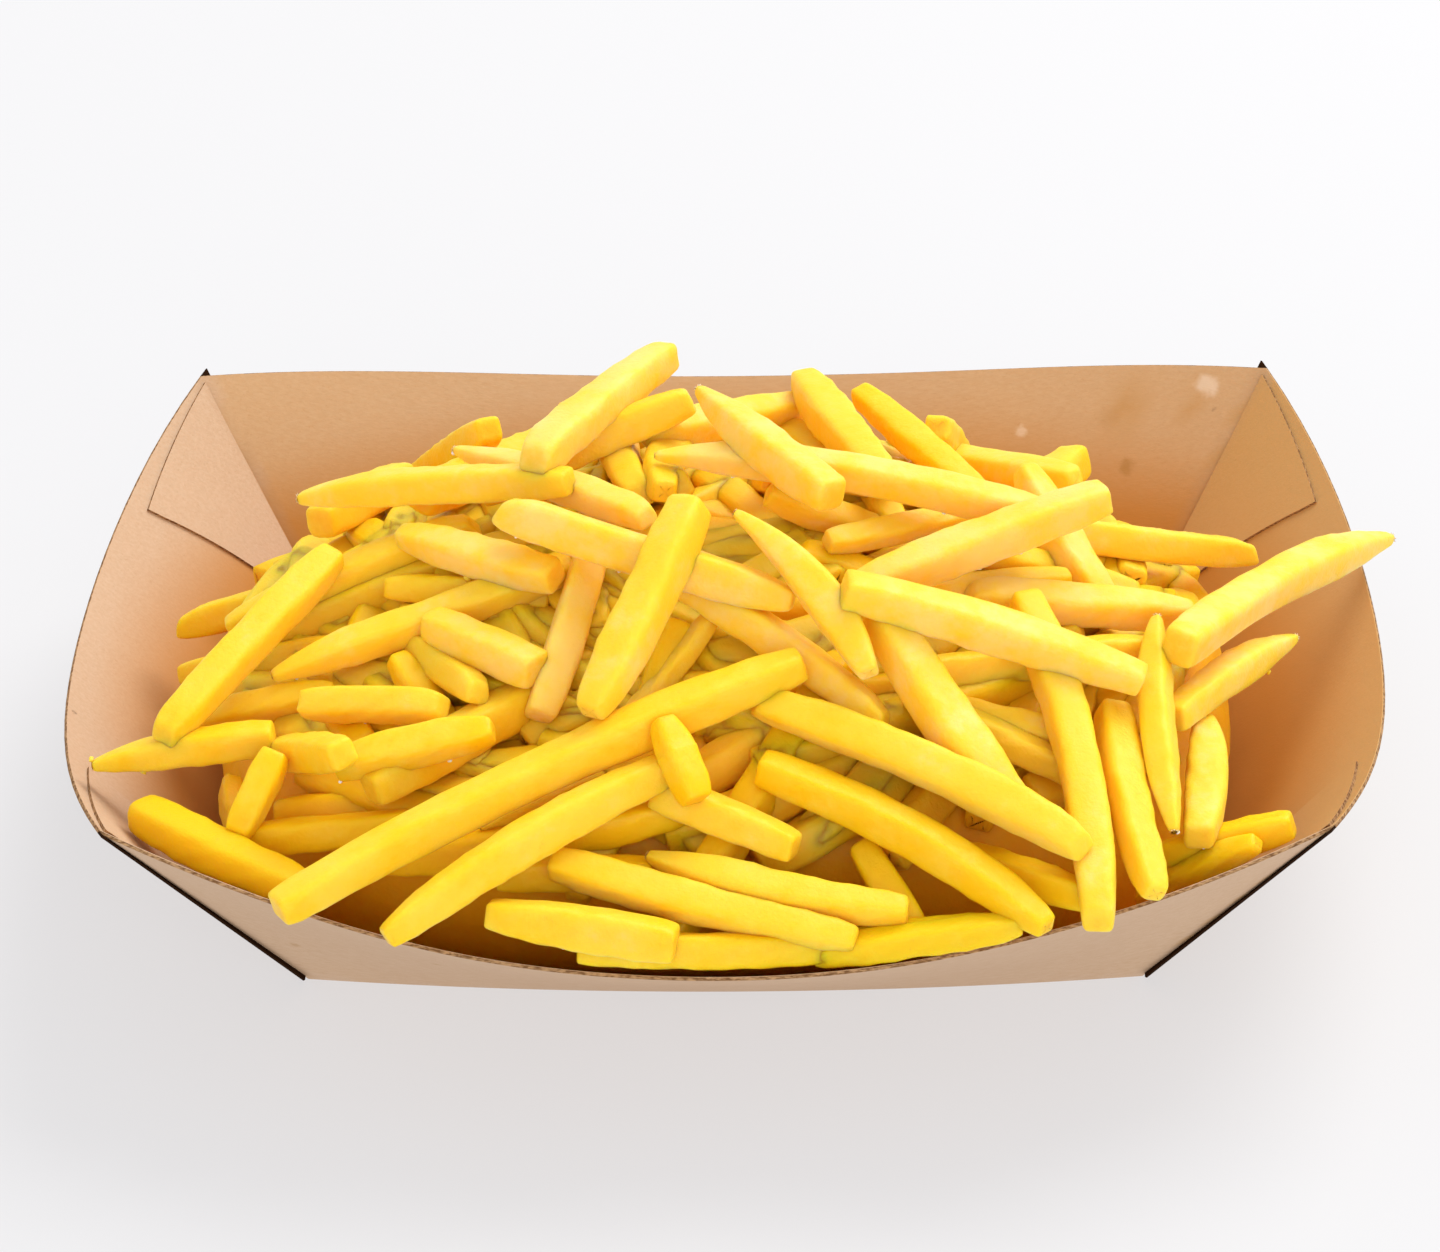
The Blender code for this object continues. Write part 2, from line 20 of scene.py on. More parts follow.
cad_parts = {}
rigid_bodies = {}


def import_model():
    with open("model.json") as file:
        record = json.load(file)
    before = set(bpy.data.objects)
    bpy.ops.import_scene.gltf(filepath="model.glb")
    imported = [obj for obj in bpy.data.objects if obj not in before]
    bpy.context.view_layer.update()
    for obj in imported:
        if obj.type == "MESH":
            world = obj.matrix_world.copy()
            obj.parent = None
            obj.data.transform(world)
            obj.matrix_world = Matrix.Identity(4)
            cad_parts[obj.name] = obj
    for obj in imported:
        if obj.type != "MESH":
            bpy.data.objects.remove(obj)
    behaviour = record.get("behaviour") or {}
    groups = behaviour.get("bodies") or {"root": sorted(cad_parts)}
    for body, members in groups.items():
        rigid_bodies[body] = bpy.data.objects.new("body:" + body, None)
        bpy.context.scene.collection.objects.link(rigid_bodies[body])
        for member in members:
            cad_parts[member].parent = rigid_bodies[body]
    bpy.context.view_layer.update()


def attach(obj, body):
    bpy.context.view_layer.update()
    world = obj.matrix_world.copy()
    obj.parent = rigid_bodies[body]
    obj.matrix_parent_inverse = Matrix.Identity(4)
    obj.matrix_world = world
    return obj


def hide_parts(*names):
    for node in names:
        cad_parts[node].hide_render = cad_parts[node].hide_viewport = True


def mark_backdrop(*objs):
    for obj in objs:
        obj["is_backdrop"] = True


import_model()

MM = 0.001
log = logging.getLogger("fries")


# Working in Blender


def start_clean() -> None:
    """Leaves edit mode and deselects every object."""
    if bpy.context.object and bpy.context.object.mode != "OBJECT":
        bpy.ops.object.mode_set(mode="OBJECT")
    bpy.ops.object.select_all(action="DESELECT")


def choose_only(item: bpy.types.Object) -> None:
    """Makes one object the only selected and the active one."""
    start_clean()
    item.select_set(True)
    bpy.context.view_layer.objects.active = item


def pick(item: bpy.types.Object, kind: str, wanted: Callable[[Any], bool]) -> None:
    """Selects, in edit mode, the mesh elements that a test accepts.

    Args:
        item: The object in edit mode.
        kind: "verts", "edges" or "faces".
        wanted: The test, given one element.
    """
    bpy.context.tool_settings.mesh_select_mode = (kind == "verts", kind == "edges", kind == "faces")
    shape = bmesh.from_edit_mesh(item.data)
    for group in (shape.verts, shape.edges, shape.faces):
        for element in group:
            element.select = False
    for element in getattr(shape, kind):
        if wanted(element):
            element.select_set(True)
    shape.select_flush_mode()
    bmesh.update_edit_mesh(item.data)


def apply_modifier(item: bpy.types.Object, name: str, kind: str, **settings: Any) -> None:
    """Adds one modifier with these settings and applies it.

    Args:
        item: The object that gets it.
        name: The modifier's name.
        kind: The modifier's type.
        settings: Its properties.
    """
    choose_only(item)
    modifier = item.modifiers.new(name, kind)
    for key, value in settings.items():
        setattr(modifier, key, value)
    bpy.ops.object.modifier_apply(modifier=modifier.name)


def mesh_points(item: bpy.types.Object) -> np.ndarray:
    """The object's mesh points, one row each."""
    flat = np.empty(len(item.data.vertices) * 3)
    item.data.vertices.foreach_get("co", flat)
    return flat.reshape(-1, 3)


def place_points(item: bpy.types.Object, points: np.ndarray) -> None:
    """Writes the object's mesh points, given in metres."""
    item.data.vertices.foreach_set("co", np.ascontiguousarray(points, dtype=float).ravel())
    item.data.update()


def mark_points(item: bpy.types.Object, name: str, values: np.ndarray) -> None:
    """Stores one number for each mesh point, which a finish can read by its name."""
    layer = item.data.attributes.get(name) or item.data.attributes.new(name, "FLOAT", "POINT")
    layer.data.foreach_set("value", np.ascontiguousarray(values, dtype=float))


def mark_evenly(item: bpy.types.Object, **marks: float) -> None:
    """Stores one number on every mesh point under each name given."""
    for name, value in marks.items():
        mark_points(item, name, np.full(len(item.data.vertices), value))


def mesh_normals(item: bpy.types.Object) -> np.ndarray:
    """The unit normals at the object's mesh points, one row each."""
    flat = np.empty(len(item.data.vertices) * 3)
    item.data.vertex_normals.foreach_get("vector", flat)
    return flat.reshape(-1, 3)


def copy_of(model: bpy.types.Object) -> bpy.types.Object:
    """A copy of a modelled object, with a mesh of its own."""
    item = model.copy()
    item.data = model.data.copy()
    bpy.context.scene.collection.objects.link(item)
    return item


def smooth(item: bpy.types.Object, angle: float | None = None) -> None:
    """Shades an object smoothly, everywhere or only over edges that turn by less than an angle."""
    choose_only(item)
    if angle is None:
        bpy.ops.object.shade_smooth()
    else:
        bpy.ops.object.shade_smooth_by_angle(angle=angle)


def join_pieces(pieces: list[bpy.types.Object], name: str) -> bpy.types.Object:
    """Joins objects into one.

    Args:
        pieces: The objects, of which the first takes in the others.
        name: The joined piece's name.

    Returns:
        The one object that is left.
    """
    start_clean()
    for piece in pieces:
        piece.select_set(True)
    bpy.context.view_layer.objects.active = pieces[0]
    bpy.ops.object.join()
    joined = bpy.context.view_layer.objects.active
    joined.name = name
    joined.data.name = name
    return joined


def drop(items: list[bpy.types.Object]) -> None:
    """Removes objects that were only models to copy."""
    for item in items:
        bpy.data.objects.remove(item, do_unlink=True)


def dress(piece: bpy.types.Object, finishes: list[bpy.types.Material], node: str) -> None:
    """Gives a piece its materials and its body, and hides the CAD node that it stands for.

    Args:
        piece: The finished piece.
        finishes: Its materials in slot order, or none where it has them already.
        node: The CAD node that it replaces.
    """
    for finish in finishes:
        piece.data.materials.append(finish)
    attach(piece, "root")
    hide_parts(node)
    log.info("%s: %d faces", piece.name, len(piece.data.polygons))


# Materials


class Noise(NamedTuple):
    """The scale of a noise in waves to the metre, its detail and its roughness."""

    scale: float
    detail: float = 2.0
    rough: float = 0.5


PATCH_WAVES = 1.5
PATCH_FADE = (0.35, 1.05)


def sign(operation: str, swapped: bool = False) -> Callable[["Signal", Any], "Signal"]:
    """The method behind one arithmetic sign.

    Args:
        operation: The Math node's operation.
        swapped: Whether the other value comes first.

    Returns:
        The method, which adds the node.
    """

    def add_node(signal: "Signal", other: Any) -> "Signal":
        """One Math node on the signal and another value."""
        first, second = (other, signal) if swapped else (signal, other)
        return signal.graph.node("ShaderNodeMath", {"operation": operation}, {0: first, 1: second})

    return add_node


class Signal:
    """A node's output that ordinary arithmetic acts on, each sign adding one Math node."""

    def __init__(self, graph: "NodeGraph", socket: bpy.types.NodeSocket) -> None:
        """Wraps a socket of a graph."""
        self.graph = graph
        self.socket = socket

    __add__ = sign("ADD")
    __radd__ = sign("ADD", swapped=True)
    __sub__ = sign("SUBTRACT")
    __rsub__ = sign("SUBTRACT", swapped=True)
    __mul__ = sign("MULTIPLY")
    __truediv__ = sign("DIVIDE")


class NodeGraph:
    """The node tree of one material."""

    def __init__(self, name: str) -> None:
        """Starts a material with its Principled shader."""
        self.material = bpy.data.materials.new(name)
        self.material.use_nodes = True
        self.tree = self.material.node_tree
        self.shader = self.tree.nodes["Principled BSDF"]

    def feed(self, socket: bpy.types.NodeSocket, value: Any) -> None:
        """Links a signal to a socket, or sets a plain value on it."""
        if isinstance(value, Signal):
            self.tree.links.new(value.socket, socket)
        else:
            socket.default_value = value

    def node(
        self, kind: str, settings: dict | None = None, inputs: dict | None = None, output: Any = 0
    ) -> Signal:
        """Adds a node.

        Args:
            kind: The node's type.
            settings: Its properties.
            inputs: Values or signals by socket name or number.
            output: The name or number of the output that is wanted.

        Returns:
            That output.
        """
        made = self.tree.nodes.new(kind)
        for key, value in (settings or {}).items():
            setattr(made, key, value)
        for key, value in (inputs or {}).items():
            self.feed(made.inputs[key], value)
        return Signal(self, made.outputs[output])

    def place(self, stretch: tuple = (1, 1, 1), turn: tuple = (0, 0, 0)) -> Signal:
        """Object coordinates, stretched and turned."""
        where = self.node("ShaderNodeTexCoord", output="Object")
        return self.node("ShaderNodeMapping", inputs={"Vector": where, "Scale": stretch, "Rotation": turn})

    def noise(self, where: Signal, kind: Noise) -> Signal:
        """Noise of 0 to 1."""
        inputs = {"Vector": where, "Scale": kind.scale, "Detail": kind.detail, "Roughness": kind.rough}
        return self.node("ShaderNodeTexNoise", inputs=inputs)

    def spread(self, value: Signal, low: float, high: float) -> Signal:
        """A value stretched so that low gives 0 and high gives 1, and kept between them."""
        inputs = {"Value": value, "From Min": low, "From Max": high}
        return self.node("ShaderNodeMapRange", {"interpolation_type": "SMOOTHSTEP"}, inputs)

    def blend(self, share: Any, first: Any, second: Any) -> Signal:
        """Two colours mixed by a share of the second."""
        return self.node("ShaderNodeMix", {"data_type": "RGBA"}, {0: share, 6: first, 7: second}, output=2)

    def patch(self, where: Signal, centre: list, radius: float) -> Signal:
        """A ragged patch round a place: 1 at its middle and 0 outside its radius in metres."""
        inputs = {0: where, 1: centre}
        away = self.node("ShaderNodeVectorMath", {"operation": "DISTANCE"}, inputs, output="Value")
        ragged = self.noise(where, Noise(PATCH_WAVES / radius)) - 0.5
        return 1 - self.spread(away / radius + ragged, *PATCH_FADE)

    def mark(self, name: str) -> Signal:
        """A number stored on the mesh points."""
        return self.node("ShaderNodeAttribute", {"attribute_name": name}, output="Fac")

    def bump(self, height: Signal, depth: float, strength: float, under: Signal | None = None) -> Signal:
        """A bump of this depth in metres, over another one if given."""
        inputs = {"Height": height, "Distance": depth, "Strength": strength}
        if under is not None:
            inputs["Normal"] = under
        return self.node("ShaderNodeBump", inputs=inputs)

    def finish(self, **sockets: Any) -> bpy.types.Material:
        """Feeds the shader's sockets, an underscore standing for a space, and returns the material."""
        for key, value in sockets.items():
            self.feed(self.shader.inputs[key.replace("_", " ")], value)
        return self.material


def rgb(red: float, green: float, blue: float) -> tuple:
    """A colour of linear parts as a socket takes it."""
    return (red, green, blue, 1.0)


@dataclass(frozen=True)
class FriedPotato:
    """The skin of a fry: pale where it is soft and golden at its edges and tips, with painted shade that
    turns faces looking away from above deep orange and darkens it lower down in the heap.
    """

    name: str = "FriedPotato"
    pale: tuple = rgb(0.98, 0.77, 0.42)
    yellow: tuple = rgb(0.98, 0.69, 0.11)
    golden: tuple = rgb(0.90, 0.50, 0.008)
    painted_shade: tuple = rgb(0.99, 0.56, 0.001)
    depth_shade: tuple = rgb(0.93, 0.38, 0.004)
    browned: tuple = rgb(0.70, 0.32, 0.04)
    cloud: Noise = Noise(95.0, 3.0, 0.55)
    mottle: Noise = Noise(420.0, 4.0, 0.6)
    blister: Noise = Noise(1500.0, 3.0, 0.55)
    cloud_sway: float = 1.1
    mottle_sway: float = 0.8
    rim_ripeness: float = 0.18
    to_yellow: tuple = (0.05, 0.62)
    to_golden: tuple = (0.62, 1.25)
    side_shade_share: float = 0.72
    side_shade_sway: float = 0.5
    depth_shade_share: float = 0.7
    freckles: tuple = (0.60, 0.74)
    freckled_tones: tuple = (0.2, 0.9)
    freckle_share: float = 0.35
    scorches: tuple = (0.98, 1.25)
    scorch_share: float = 0.30
    wrinkle_bump: tuple = (0.0009, 0.5)
    blister_bump: tuple = (0.00022, 0.55)
    roughness: float = 0.45
    roughness_sway: float = 0.25
    specular: float = 0.30
    refraction: float = 1.42
    subsurface: float = 0.60
    subsurface_scale: float = 0.008
    subsurface_radius: tuple = (1.0, 0.50, 0.08)

    def material(self) -> bpy.types.Material:
        """Builds the material."""
        graph = NodeGraph(self.name)
        where = graph.place()
        tone, edge, tip, side, depth = map(graph.mark, ("tone", "edge", "tip", "side", "depth"))
        kinds = (self.cloud, self.mottle, self.blister)
        cloud, mottle, blister = (graph.noise(where, kind) for kind in kinds)
        ripeness = tone + (cloud - 0.5) * self.cloud_sway + (mottle - 0.5) * self.mottle_sway
        ripeness = ripeness + edge * self.rim_ripeness + tip * self.rim_ripeness
        body = graph.blend(graph.spread(ripeness, *self.to_yellow), self.pale, self.yellow)
        body = graph.blend(graph.spread(ripeness, *self.to_golden), body, self.golden)
        # Painted shade: faces turned away from above blend to a deep orange, standing for shade and bounce
        # light among the fries.
        body = graph.blend(side * (self.side_shade_share + (cloud - 0.5) * self.side_shade_sway), body, self.painted_shade)
        # Painted shade: points far under the heap's even top turn redder, standing for the shade in the gaps
        # between fries.
        body = graph.blend(depth * self.depth_shade_share, body, self.depth_shade)
        freckle = graph.spread(mottle * 0.6 + blister * 0.4, *self.freckles)
        freckle = freckle * graph.spread(tone, *self.freckled_tones)
        body = graph.blend(freckle * self.freckle_share, body, self.browned)
        scorch = graph.spread(tip * 0.7 + cloud * 0.5 + mottle * 0.3, *self.scorches)
        body = graph.blend(scorch * self.scorch_share, body, self.browned)
        skin = graph.bump(cloud * 0.7 + mottle * 0.3, *self.wrinkle_bump)
        skin = graph.bump(blister, *self.blister_bump, skin)
        return graph.finish(
            Base_Color=body,
            Roughness=self.roughness + (mottle - 0.5) * self.roughness_sway,
            Normal=skin,
            Subsurface_Weight=self.subsurface,
            Subsurface_Radius=self.subsurface_radius,
            Subsurface_Scale=self.subsurface_scale,
            IOR=self.refraction,
            Specular_IOR_Level=self.specular,
        )


class Spot(NamedTuple):
    """A mark on the board: its place and radius in millimetres, its colour and its strength."""

    place: tuple
    radius: float
    colour: tuple
    strength: float


DARK_MARK = rgb(0.10, 0.05, 0.02)
GREASE_MARK = rgb(0.36, 0.18, 0.04)
PALE_MARK = rgb(0.80, 0.66, 0.52)


@dataclass(frozen=True)
class KraftBoard:
    """Brown board: fine pulp fibres, faint streaks of the sheet's run, stains and rubbed folds, with painted
    shade and yellow bounce light that differ from wall to wall, and grease with painted shade low on the
    inner faces.
    """

    name: str = "KraftBoard"
    board: tuple = rgb(0.56, 0.38, 0.25)
    pale_pulp: tuple = rgb(0.64, 0.47, 0.33)
    dark_pulp: tuple = rgb(0.43, 0.255, 0.135)
    grease: tuple = rgb(0.48, 0.24, 0.06)
    warm: tuple = rgb(0.54, 0.285, 0.066)
    grease_and_shade: tuple = rgb(0.50, 0.21, 0.028)
    cloud: Noise = Noise(28.0, 3.0, 0.6)
    pulp: Noise = Noise(420.0, 4.0, 0.65)
    pulp_stretch: tuple = (1.0, 3.5, 3.5)
    fibre: Noise = Noise(260.0, 2.0, 0.6)
    fibre_stretch: tuple = (1.0, 9.0, 9.0)
    fibre_turn: tuple = (0, 0, 0.35)
    speck: Noise = Noise(1900.0)
    bounce_shade_share: float = 0.8
    grease_and_shade_share: float = 0.9
    fold_share: float = 0.35
    stained: tuple = (0.30, 0.62)
    tooth_bump: tuple = (0.00012, 0.5)
    sheet_bump: tuple = (0.0012, 0.25)
    specular: float = 0.25
    roughness: float = 0.78
    stain_gloss: float = 0.3
    spots: tuple = (
        Spot((81.7, 75.6, 33.4), 2.4, GREASE_MARK, 0.6),
        Spot((78.0, 84.0, 40.0), 3.6, GREASE_MARK, 0.16),
        Spot((98.2, 81.4, 49.4), 3.2, PALE_MARK, 0.55),
        Spot((99.5, 77.7, 46.0), 1.1, DARK_MARK, 0.5),
        Spot((60.0, 86.0, 36.0), 1.6, PALE_MARK, 0.4),
        Spot((-123.3, -24.7, 42.6), 1.0, DARK_MARK, 0.8),
        Spot((-79.0, -62.8, 16.9), 1.3, GREASE_MARK, 0.35),
        Spot((-51.7, -73.5, 20.6), 1.1, GREASE_MARK, 0.35),
        Spot((115.1, 55.1, 45.5), 1.2, GREASE_MARK, 0.5),
    )

    def material(self) -> bpy.types.Material:
        """Builds the material."""
        graph = NodeGraph(self.name)
        where = graph.place()
        cloud = graph.noise(where, self.cloud)
        pulp = graph.noise(graph.place(self.pulp_stretch), self.pulp)
        fibre = graph.noise(graph.place(self.fibre_stretch, self.fibre_turn), self.fibre)
        speck = graph.noise(where, self.speck)
        body = self.board
        for pattern, low, high, share, colour in (
            (pulp, 0.35, 0.70, 0.5, self.pale_pulp),
            (fibre, 0.56, 0.74, 0.30, self.dark_pulp),
            (speck, 0.64, 0.74, 0.35, self.dark_pulp),
            (cloud, 0.42, 0.70, 0.18, self.pale_pulp),
        ):
            body = graph.blend(graph.spread(pattern, low, high) * share, body, colour)
        # Painted shade and yellow bounce light, set for each wall by how it faces the light.
        body = graph.blend(graph.mark("warmth") * self.bounce_shade_share, body, self.warm)
        # Grease and painted shade with yellow bounce light, low on the inner faces.
        body = graph.blend(graph.mark("inside") * self.grease_and_shade_share, body, self.grease_and_shade)
        body = graph.blend(graph.mark("fold") * self.fold_share, body, self.dark_pulp)
        stain = graph.mark("stain") * graph.spread(cloud * 0.5 + pulp * 0.5, *self.stained)
        body = graph.blend(stain, body, self.grease)
        for spot in self.spots:
            patch = graph.patch(where, [part * MM for part in spot.place], spot.radius * MM)
            body = graph.blend(patch * spot.strength, body, spot.colour)
        tooth = graph.bump(pulp * 0.6 + fibre * 0.4, *self.tooth_bump)
        return graph.finish(
            Base_Color=body,
            Roughness=self.roughness - stain * self.stain_gloss,
            Normal=graph.bump(cloud, *self.sheet_bump, tooth),
            Specular_IOR_Level=self.specular,
        )


@dataclass(frozen=True)
class CutBoard:
    """The board's cut edge: darker, layered pulp."""

    name: str = "CutBoard"
    light: tuple = rgb(0.46, 0.27, 0.13)
    dark: tuple = rgb(0.16, 0.075, 0.03)
    layers: Noise = Noise(900.0, 3.0, 0.6)
    layers_stretch: tuple = (1, 1, 4)
    layers_range: tuple = (0.35, 0.65)
    layers_bump: tuple = (0.0001, 0.5)

    def material(self) -> bpy.types.Material:
        """Builds the material."""
        graph = NodeGraph(self.name)
        layers = graph.noise(graph.place(self.layers_stretch), self.layers)
        return graph.finish(
            Base_Color=graph.blend(graph.spread(layers, *self.layers_range), self.light, self.dark),
            Roughness=0.9,
            Normal=graph.bump(layers, *self.layers_bump),
            Specular_IOR_Level=0.1,
        )


@dataclass(frozen=True)
class SlotShade:
    """Painted shade: the nearly black colour on an end wall's edge strip past the fold, standing for the
    shadowed slot there.
    """

    name: str = "SlotShade"
    colour: tuple = rgb(0.018, 0.008, 0.004)
    lighter: tuple = rgb(0.05, 0.022, 0.01)
    grain: Noise = Noise(700.0)

    def material(self) -> bpy.types.Material:
        """Builds the material."""
        graph = NodeGraph(self.name)
        painted_shade = graph.blend(graph.noise(graph.place(), self.grain) * 0.5, self.colour, self.lighter)
        return graph.finish(Base_Color=painted_shade, Roughness=0.95, Specular_IOR_Level=0.0)


@dataclass(frozen=True)
class Salt:
    """Salt grains: white, slightly clear and glossy."""

    name: str = "Salt"
    grey: tuple = rgb(0.90, 0.88, 0.85)
    white: tuple = rgb(0.98, 0.97, 0.96)
    cloud: Noise = Noise(1500.0)

    def material(self) -> bpy.types.Material:
        """Builds the material."""
        graph = NodeGraph(self.name)
        body = graph.blend(graph.noise(graph.place(), self.cloud), self.grey, self.white)
        return graph.finish(Base_Color=body, Roughness=0.3, Subsurface_Weight=0.2, Subsurface_Scale=0.0005)


@dataclass(frozen=True)
class StudioFloor:
    """A plain pale floor."""

    name: str = "StudioFloor"
    colour: tuple = rgb(0.26, 0.26, 0.26)
    lighter: tuple = rgb(0.28, 0.28, 0.29)
    glow: tuple = rgb(0.55, 0.545, 0.555)
    cloud: Noise = Noise(3.0, 1.0)

    def material(self) -> bpy.types.Material:
        """Builds the material, which glows a little so that the tray's shadow stays faint."""
        graph = NodeGraph(self.name)
        return graph.finish(
            Base_Color=graph.blend(graph.noise(graph.place(), self.cloud) * 0.3, self.colour, self.lighter),
            Roughness=0.8,
            Specular_IOR_Level=0.05,
            Emission_Color=self.glow,
            Emission_Strength=1.0,
        )


# The tray


NORMAL_STEP = 0.01


@dataclass
class PaperTray:
    """The folded tray: one sheet for the base and walls, four glued flaps and the end walls' outer skin."""

    top_length: float = 220.0
    top_width: float = 158.0
    base_length: float = 158.0
    base_width: float = 103.0
    corner_height: float = 55.0
    board: float = 0.7
    long_wall_mid_lean: float = math.radians(50.0)
    end_wall_bulge: float = math.radians(18.6)
    crease_bow: float = 4.3
    flap_tip_high: tuple = (0.58, 0.93)
    flap_tip_low: tuple = (0.60, 0.88)
    flap_fold_top: tuple = (0.995, 0.98)
    flap_fold_foot: tuple = (0.97, 0.06)
    flap_proud: float = 0.6
    glue_overlap: float = 0.05
    edge_past_fold: float = 2.2
    skin_depth: float = 0.45
    skin_sunk: float = 0.03
    skin_foot: float = 0.02
    wave: float = 0.45
    weld: float = 0.05
    edge_round: float = 0.1
    edge_angle: float = math.radians(60)
    smooth_angle: float = math.radians(25)
    grease_and_shade_height: float = 40.0
    grease_and_shade_fade: float = 14.0
    long_fold_mark: float = 0.015
    end_fold_mark: float = 0.02
    # Painted bounce light and shade for each wall: least on the front and the left end, most on the right end
    # and the back.
    long_warmth: ClassVar[dict] = {-1: 0.12, 1: 0.62}
    end_warmth: ClassVar[dict] = {-1: 0.08, 1: 0.95}
    stains: tuple = ((82.0, 84.0, 4.0), (95.0, 80.0, 2.5), (60.0, 79.0, 3.0))
    stain_most: float = 0.7
    finishes: tuple = ()
    along_spans: int = 60
    across_spans: int = 40
    wall_spans: int = 14
    slab_spans: tuple = (24, 16)

    @property
    def corner_lean_long(self) -> float:
        """The long walls' lean at their ends."""
        return math.atan2((self.top_width - self.base_width) / 2, self.corner_height)

    @property
    def corner_lean_end(self) -> float:
        """The end walls' lean at their ends."""
        return math.atan2((self.top_length - self.base_length) / 2, self.corner_height)

    @property
    def slant_long(self) -> float:
        """The long walls' height along their slant."""
        return self.corner_height / math.cos(self.corner_lean_long)

    @property
    def slant_end(self) -> float:
        """The end walls' height along their slant."""
        return self.corner_height / math.cos(self.corner_lean_end)

    def long_wall(self, side: int, along: np.ndarray, up: np.ndarray) -> np.ndarray:
        """Points of a long wall's outside.

        Args:
            side: -1 in front, 1 behind.
            along: -1 to 1 on the length.
            up: 0 at the crease to 1 at the rim.

        Returns:
            One row for each point, in millimetres.
        """
        swell = 1 - along * along
        lean = self.corner_lean_long + (self.long_wall_mid_lean - self.corner_lean_long) * swell
        foot = self.base_width / 2 + self.crease_bow * swell
        half_length = self.base_length / 2 + (self.top_length - self.base_length) / 2 * up
        reach = up * self.slant_long
        y = side * (foot + reach * np.sin(lean))
        return np.stack([along * half_length, y, reach * np.cos(lean)], axis=-1)

    def end_wall(self, side: int, across: np.ndarray, up: np.ndarray) -> np.ndarray:
        """Points of an end wall's outside.

        Args:
            side: -1 at the left end, 1 at the right.
            across: -1 to 1 on the width.
            up: 0 at the crease to 1 at the rim.

        Returns:
            One row for each point, in millimetres.
        """
        lean = self.corner_lean_end + self.end_wall_bulge * (1 - across * across)
        half_width = self.base_width / 2 + (self.top_width - self.base_width) / 2 * up
        reach = up * self.slant_end
        x = side * (self.base_length / 2 + reach * np.sin(lean))
        return np.stack([x, across * half_width, reach * np.cos(lean)], axis=-1)

    @staticmethod
    def outward(wall: Callable, axis: int, side: int, run: np.ndarray, up: np.ndarray) -> np.ndarray:
        """Unit normals of a wall, pointing out of the tray.

        Args:
            wall: The wall's surface, long_wall or end_wall.
            axis: The axis that the wall faces along, 0 for an end wall and 1 for a long one.
            side: -1 or 1, as the wall takes it.
            run: -1 to 1 along the wall.
            up: 0 at the crease to 1 at the rim.

        Returns:
            One row for each point.
        """
        here = wall(side, run, up)
        upward = wall(side, run, up + NORMAL_STEP) - here
        sideways = wall(side, run + NORMAL_STEP, up) - here
        normal = np.cross(upward, sideways)
        normal /= np.linalg.norm(normal, axis=-1, keepdims=True)
        return normal * np.sign(normal[..., axis : axis + 1] * side)

    def waviness(self, run: np.ndarray, up: np.ndarray, phase: float) -> np.ndarray:
        """How far a wall is dented inwards, nothing at its folds and most along the rim."""
        free = np.clip(1 - run * run, 0, 1) * np.clip(up, 0, 1)
        swing = 0.5 + 0.25 * np.sin(5.3 * run + phase) + 0.25 * np.sin(9.1 * run + 2.1 * phase + 2 * up)
        return self.wave * free * swing

    def _add_finishes(self, item: bpy.types.Object) -> None:
        """Gives a part the board's three finishes: its faces, its cut edges and the painted shade of its
        slots.
        """
        for finish in self.finishes:
            item.data.materials.append(finish)

    def _grid(self, name: str, columns: int, rows: int) -> tuple[bpy.types.Object, np.ndarray, np.ndarray]:
        """A flat grid from -1 to 1 each way, to be laid as a wall, with its two coordinates."""
        start_clean()
        bpy.ops.mesh.primitive_grid_add(x_subdivisions=columns, y_subdivisions=rows, size=2)
        item = bpy.context.active_object
        item.name = name
        flat = mesh_points(item)
        return item, flat[:, 0].copy(), flat[:, 1].copy()

    @staticmethod
    def _mark_folds(item: bpy.types.Object, run: np.ndarray, width: float) -> None:
        """Marks a wall's two folds, where its run is -1 and 1, over a share of its half length."""
        mark_points(item, "fold", np.clip((np.abs(run) - (1 - width)) / width, 0, 1))

    def _long_wall_sheet(self, side: int) -> bpy.types.Object:
        """One long wall as a single skin."""
        item, along, rise = self._grid("long_wall", self.along_spans, self.wall_spans)
        up = (rise + 1) / 2
        dent = self.waviness(along, up, 1.3 + side)
        normal = self.outward(self.long_wall, 1, side, along, up)
        points = self.long_wall(side, along, up) - normal * dent[:, None]
        place_points(item, points * MM)
        self._mark_folds(item, along, self.long_fold_mark)
        mark_points(item, "warmth", self.long_warmth[side] * (1 - 0.2 * up))
        mark_points(item, "stain", self._wall_stain(side, points))
        return item

    def _end_wall_sheet(self, side: int) -> bpy.types.Object:
        """One end wall as a single skin."""
        item, across, rise = self._grid("end_wall", self.across_spans, self.wall_spans)
        place_points(item, self.end_wall(side, across, (rise + 1) / 2) * MM)
        self._mark_folds(item, across, self.end_fold_mark)
        mark_evenly(item, warmth=self.end_warmth[side], stain=0.0)
        return item

    def _wall_stain(self, side: int, points: np.ndarray) -> np.ndarray:
        """Grease spots on the back wall, by plan place and radius."""
        stain = np.zeros(len(points))
        if side > 0:
            for x, y, radius in self.stains:
                far = np.hypot(points[:, 0] - x, points[:, 1] - y)
                stain = np.maximum(stain, self.stain_most * np.exp(-((far / radius) ** 2)))
        return stain

    def _base_sheet(self) -> bpy.types.Object:
        """The flat base as a single skin, its long sides bowed with the creases."""
        item, along, across = self._grid("base", self.along_spans, self.across_spans)
        half_width = self.base_width / 2 + self.crease_bow * (1 - along * along)
        points = np.stack([along * self.base_length / 2, across * half_width, np.zeros(len(along))], axis=-1)
        place_points(item, points * MM)
        mark_evenly(item, fold=0.0, warmth=0.0, stain=0.0)
        return item

